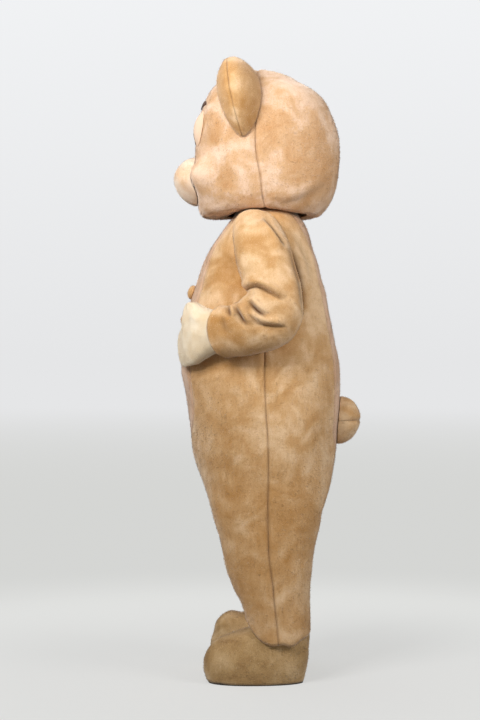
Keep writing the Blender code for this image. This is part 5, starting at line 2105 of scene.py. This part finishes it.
    def on_eye(self, x: Points, z: Points) -> Points:
        """The point of the left eye's dome at a sideways place and a height."""
        eye, base = self.eye, self.form.on_face
        across, up = (x - eye.place[0]) / eye.radii[0], (z - eye.place[1]) / eye.radii[1]
        dome = np.clip(1 - across**2 - up**2, 0, 1) ** eye.fullness
        height = eye.gap + eye.rim + eye.out * dome
        return base(x, z) + field_normals(base, x, z, -1) * height[..., None]

    def make_eye(self, side: Side) -> None:
        """One eye with its pupil and brow.

        Args:
            side: The side.
        """
        eye = self.eye.grid(self.form.on_face, -1, 22, 64)
        rim = np.linspace(0, 1, len(eye.outer))[:, None] * self.eye.radii[0]
        eye.seam = rim * self.eye_rim + 0 * eye.seam
        self.shop.felt(f"{side.word}_eye", f"eye_{side.word}", eye.mirrored(side), 0.003, EYE_FELT)
        pupil = self.pupil.grid(self.on_eye, -1, 10, 40).mirrored(side)
        self.shop.felt(f"{side.word}_pupil", None, pupil, 0.001, DARK_FELT)
        brow = self.brow.grid(self.form.on_face, -1, 10, 48).mirrored(side)
        self.shop.felt(f"{side.word}_brow", f"brow_{side.word}", brow, 0.002, BROW_FELT)

    def make_mouth(self) -> None:
        """The stitched mouth line under the muzzle's groove, as one thin raised cord of thread."""
        half, height, rise = self.mouth
        share = np.linspace(-1, 1, 41)
        line = self.on_muzzle(half * share, height + rise * np.abs(share) ** 1.6)
        line[:, 1] -= self.mouth_out
        radius = self.mouth_radius * np.sqrt(np.clip(1.02 - share**2, 0.05, 1))
        turn = np.linspace(0, 2 * np.pi, 13)[None, :]
        way = unit(np.gradient(line, axis=0))
        up = unit(np.cross(way, np.array([0.0, 1.0, 0.0])))
        ahead = np.cross(up, way)
        ring = up[:, None] * np.cos(turn)[..., None] + ahead[:, None] * np.sin(turn)[..., None]
        outer = line[:, None] + ring * radius[:, None, None]
        grid = Grid(outer, ring, seam_distance(outer, True), True)
        self.shop.felt("mouth_stitch", None, grid, 0.0008, DARK_FELT)


@dataclass
class Mitts:
    """The pair of cream mitts, each a palm and a back with the thumb cut into both."""

    shop: Workshop
    form: MittForm = MITT
    cloth: float = 0.0022
    columns: int = 34
    relief: Relief = Relief(MITT_FOLDS, soft=0.0014, fine=0.0006, seam_width=0.005)

    def make(self) -> None:
        """Makes both mitts."""
        for side in Side:
            for word, first in (("palm", 0.0), ("back", 180.0)):
                self.make_half(side, word, first)

    def make_half(self, side: Side, word: str, first: float) -> None:
        """One half of a mitt.

        Args:
            side: The mitt's side.
            word: Palm or back.
            first: The turn it starts at, in degrees.
        """
        rings = np.concatenate([np.linspace(0, 7, 66), 8 - np.linspace(1, 0, 14)[1:] ** 2])
        turn, ring = np.meshgrid(np.radians(first + 180 * spread(self.columns)), rings)
        slope = np.minimum(ring, self.form.last - 0.02)
        grid = Grid.of(self.form.surface, turn, slope)
        grid.outer = self.form.surface(turn, ring)
        grid = grid.shaped(self.relief)
        grid.outer[-1] = grid.outer[-1].mean(axis=0)
        name, node = f"{side.word}_mitt_{word}", f"mitt_{word}_{side.word}"
        self.shop.plush(name, node, grid.mirrored(side), self.cloth, CREAM)


@dataclass
class Boots:
    """The pair of boots: plush uppers on thin dark soles."""

    shop: Workshop
    form: BootForm = BOOT
    cloth: float = 0.0045
    relief: Relief = Relief(soft=0.0014, fine=0.0006, seam_depth=0.0, seam_width=0.006)
    core: tuple[float, float] = (-0.03, 0.08)  # depth and height that the upper's normals point away from
    skirt_reach: float = 0.012
    skirt_out: float = 0.002
    skirt_drop: float = 0.0055
    seam_hold: float = 0.01
    sides: int = 97
    sole_steps: tuple[tuple[float, float], ...] = ((0.0, 0.0078), (0.0004, 0.0045), (0.0, 0.0012))

    def make(self) -> None:
        """Makes both boots."""
        for side in Side:
            self.make_upper(side)
            self.make_sole(side)

    def make_upper(self, side: Side) -> None:
        """One upper, open at the ankle and at the sole.

        Args:
            side: The side.
        """
        form = self.form
        levels = np.concatenate([np.linspace(form.lowest, 0.18, 36), np.linspace(0.18, form.top, 7)[1:]])
        angle, level = np.meshgrid(np.radians(np.linspace(0, 360, self.sides)), levels)
        outer = form.placed(form.surface(angle, level), side)
        grid = Grid.around(outer, np.array([form.foot_x, *self.core]), True)
        grid.seam = np.linalg.norm(outer - outer[:1], axis=-1)
        grid = grid.shaped(self.relief)
        over = bell(grid.seam, self.skirt_reach)[..., None]
        grid.outer = grid.outer + grid.away * self.skirt_out * over - self.skirt_drop * UP * over
        grid.seam = grid.seam + self.seam_hold
        name, node, sole = (word + side.word for word in ("", "boot_upper_", "boot_sole_"))
        self.shop.plush(name + "_boot", node, grid.mirrored(side), self.cloth, BROWN, (sole,))

    def make_sole(self, side: Side) -> None:
        """One flat sole with a rounded edge.

        Args:
            side: The side.
        """
        form = self.form
        angle = np.radians(np.linspace(0, 360, self.sides))
        edge = form.placed(form.surface(angle, np.full_like(angle, form.lowest)), side)
        middle = np.array([form.foot_x, (edge[:, 1].min() + edge[:, 1].max()) / 2, 0.0])
        reach = (edge - middle) * LYING
        way, size = unit(reach), np.linalg.norm(reach, axis=1)
        top = [(size * share, form.sole_top) for share in (0.0, 0.6, 1.0)]
        edges = [(size + (form.sole_edge + out), height) for out, height in self.sole_steps]
        foot = [(size * share, 0.0) for share in (1.0, 0.6, 0.0)]
        rows = [middle + way * out[:, None] + height * UP for out, height in top + edges + foot]
        self.shop.solid(f"{side.word}_sole", f"boot_sole_{side.word}", np.array(rows), side, SOLE_RUBBER)


# ---- the studio ----


@dataclass
class Studio:
    """Pale floor, soft light and the camera."""

    floor_size: float = 60.0
    camera_place: Place = (5.0, -0.09, -0.47)
    lens: float = 78.125
    horizon: Colour = (0.785, 0.79, 0.80)
    far_floor: Colour = (0.665, 0.67, 0.655)
    zenith: Colour = (0.875, 0.885, 0.90)
    surround: float = 0.30
    bounce: float = 0.30
    # lit is the share of the floor near the costume that is glow rather than lit floor. Together with
    # near_floor it is a painted pool of light.
    lit: float = 0.62
    near_floor: Colour = (0.80, 0.805, 0.79)
    glow_reach: tuple[float, float] = (0.5, 1.8)
    near_reach: tuple[float, float] = (0.9, 2.6)
    haze_reach: tuple[float, float] = (5.0, 30.0)
    sky_rise: float = 0.22
    light_spread: float = 100.0

    def make(self) -> None:
        """Sets up everything around the costume."""
        self.make_floor()
        self.make_world()
        self.make_lights()
        self.make_camera()
        scene = bpy.context.scene
        scene.view_settings.view_transform = "Standard"
        scene.view_settings.look = "None"
        scene.cycles.denoising_prefilter = "NONE"

    def make_floor(self) -> None:
        """The floor, which fades into the background far from the costume. Near the costume it is partly a
        glow in the paler near_floor colour, a painted pool of light, and the glow also lights the costume as
        painted bounce light.
        """
        half = self.floor_size / 2
        mesh = bpy.data.meshes.new("floor")
        corners = [(-half, -half, 0), (half, -half, 0), (half, half, 0), (-half, half, 0)]
        mesh.from_pydata(corners, [], [(0, 1, 2, 3)])
        floor = bpy.data.objects.new("floor", mesh)
        floor.location = (0.0, 0.0, -HOLD_HEIGHT)
        bpy.context.scene.collection.objects.link(floor)
        bench = ShaderBench("floor_paper")
        grain = bench.noise(bench.place(), 3.0, 2.0)
        tone = bench.mix(grain * 0.15, (0.84, 0.84, 0.83), (0.82, 0.82, 0.815))
        bench.dress(Base_Color=tone, Roughness=0.8, Specular_IOR_Level=0.1)
        place = bench.place((1.0, 1.0, 0.0))
        length = bench.node("ShaderNodeVectorMath", {"operation": "LENGTH"}, {0: place})
        distance = Wire(bench, length.outputs["Value"])
        # Near the costume the floor is partly glow in the paler near_floor colour: a painted pool of light.
        far = self.grown(bench, distance, *self.glow_reach) * (1 - self.lit) + self.lit
        haze = bench.mix(self.grown(bench, distance, *self.haze_reach), self.far_floor, self.horizon)
        haze = bench.mix(self.grown(bench, distance, *self.near_reach), self.near_floor, haze)
        strength = self.seen(bench) * (1 - self.bounce) + self.bounce
        glow = bench.node("ShaderNodeEmission", {}, {"Color": haze, "Strength": strength})
        mixed = bench.node("ShaderNodeMixShader", {}, {0: far})
        bench.tree.links.new(bench.shader.outputs[0], mixed.inputs[1])
        bench.tree.links.new(glow.outputs[0], mixed.inputs[2])
        output = bench.tree.nodes["Material Output"]
        bench.tree.links.new(mixed.outputs[0], output.inputs["Surface"])
        mesh.materials.append(bench.material)

    @staticmethod
    def grown(bench: ShaderBench, distance: Wire, near: float, far: float) -> Wire:
        """A share that grows smoothly from 0 at a near distance to 1 at a far one."""
        settings = {"interpolation_type": "SMOOTHSTEP"}
        sockets = {0: distance, 1: near, 2: far, 3: 0.0, 4: 1.0}
        return Wire(bench, bench.node("ShaderNodeMapRange", settings, sockets).outputs[0])

    def make_world(self) -> None:
        """A soft bright surround, palest overhead."""
        bench = ShaderBench("surround", world=True)
        bpy.context.scene.world = bench.material
        way = Wire(bench, bench.node("ShaderNodeTexCoord", {}, {}).outputs["Generated"])
        height = Wire(bench, bench.node("ShaderNodeSeparateXYZ", {}, {0: way}).outputs[2])
        rise = bench.node("ShaderNodeMapRange", {}, {0: height, 1: 0.0, 2: self.sky_rise})
        sky = bench.mix(Wire(bench, rise.outputs[0]), self.horizon, self.zenith)
        strength = bench.node("ShaderNodeMapRange", {}, {0: self.seen(bench), 3: self.surround})
        bench.feed(bench.shader.inputs[0], sky)
        bench.feed(bench.shader.inputs[1], Wire(bench, strength.outputs[0]))

    @staticmethod
    def seen(bench: ShaderBench) -> Wire:
        """1 where the camera sees the surface itself, 0 where it only lights the rest."""
        return Wire(bench, bench.node("ShaderNodeLightPath", {}, {}).outputs["Is Camera Ray"])

    def make_lights(self) -> None:
        """A large soft key from the front, a weaker fill from behind and a faint one overhead."""
        self.make_light("key", (2.2, -1.5, 1.2), 0.45, 33.0, 1.3)
        self.make_light("fill", (1.6, 2.3, 0.55), 0.10, 14.5, 1.3)
        self.make_light("top", (-0.6, -0.4, 2.4), 0.45, 7.0, 2.0)

    def make_light(self, name: str, place: Place, height: float, power: float, size: float) -> None:
        """Adds one square area light.

        Args:
            name: Its name.
            place: Where it hangs.
            height: Height of the middle that it faces.
            power: Its power in watts.
            size: Length of its side.
        """
        data = bpy.data.lights.new(name, "AREA")
        data.energy, data.size, data.spread = power, size, math.radians(self.light_spread)
        lamp = bpy.data.objects.new(name, data)
        lamp.location = place
        way = Vector((0.0, 0.0, height)) - lamp.location
        lamp.rotation_euler = way.to_track_quat("-Z", "Y").to_euler()
        lamp.visible_camera = False
        bpy.context.scene.collection.objects.link(lamp)

    def make_camera(self) -> None:
        """The camera, level, on the costume's left."""
        data = bpy.data.cameras.new("camera")
        data.lens = self.lens
        camera = bpy.data.objects.new("camera", data)
        camera.location = self.camera_place
        camera.rotation_euler = (math.radians(90), 0.0, math.radians(90))
        bpy.context.scene.collection.objects.link(camera)
        bpy.context.scene.camera = camera


def main() -> None:
    """Builds the studio and every sub-assembly in order."""
    logging.basicConfig(level=logging.INFO, format="%(message)s")
    Studio().make()
    shop = Workshop()
    for assembly in (Suit(shop), Head(shop), Mitts(shop), Boots(shop)):
        assembly.make()
    LOG.info("%d pieces", shop.count)


if __name__ == "__main__":
    main()
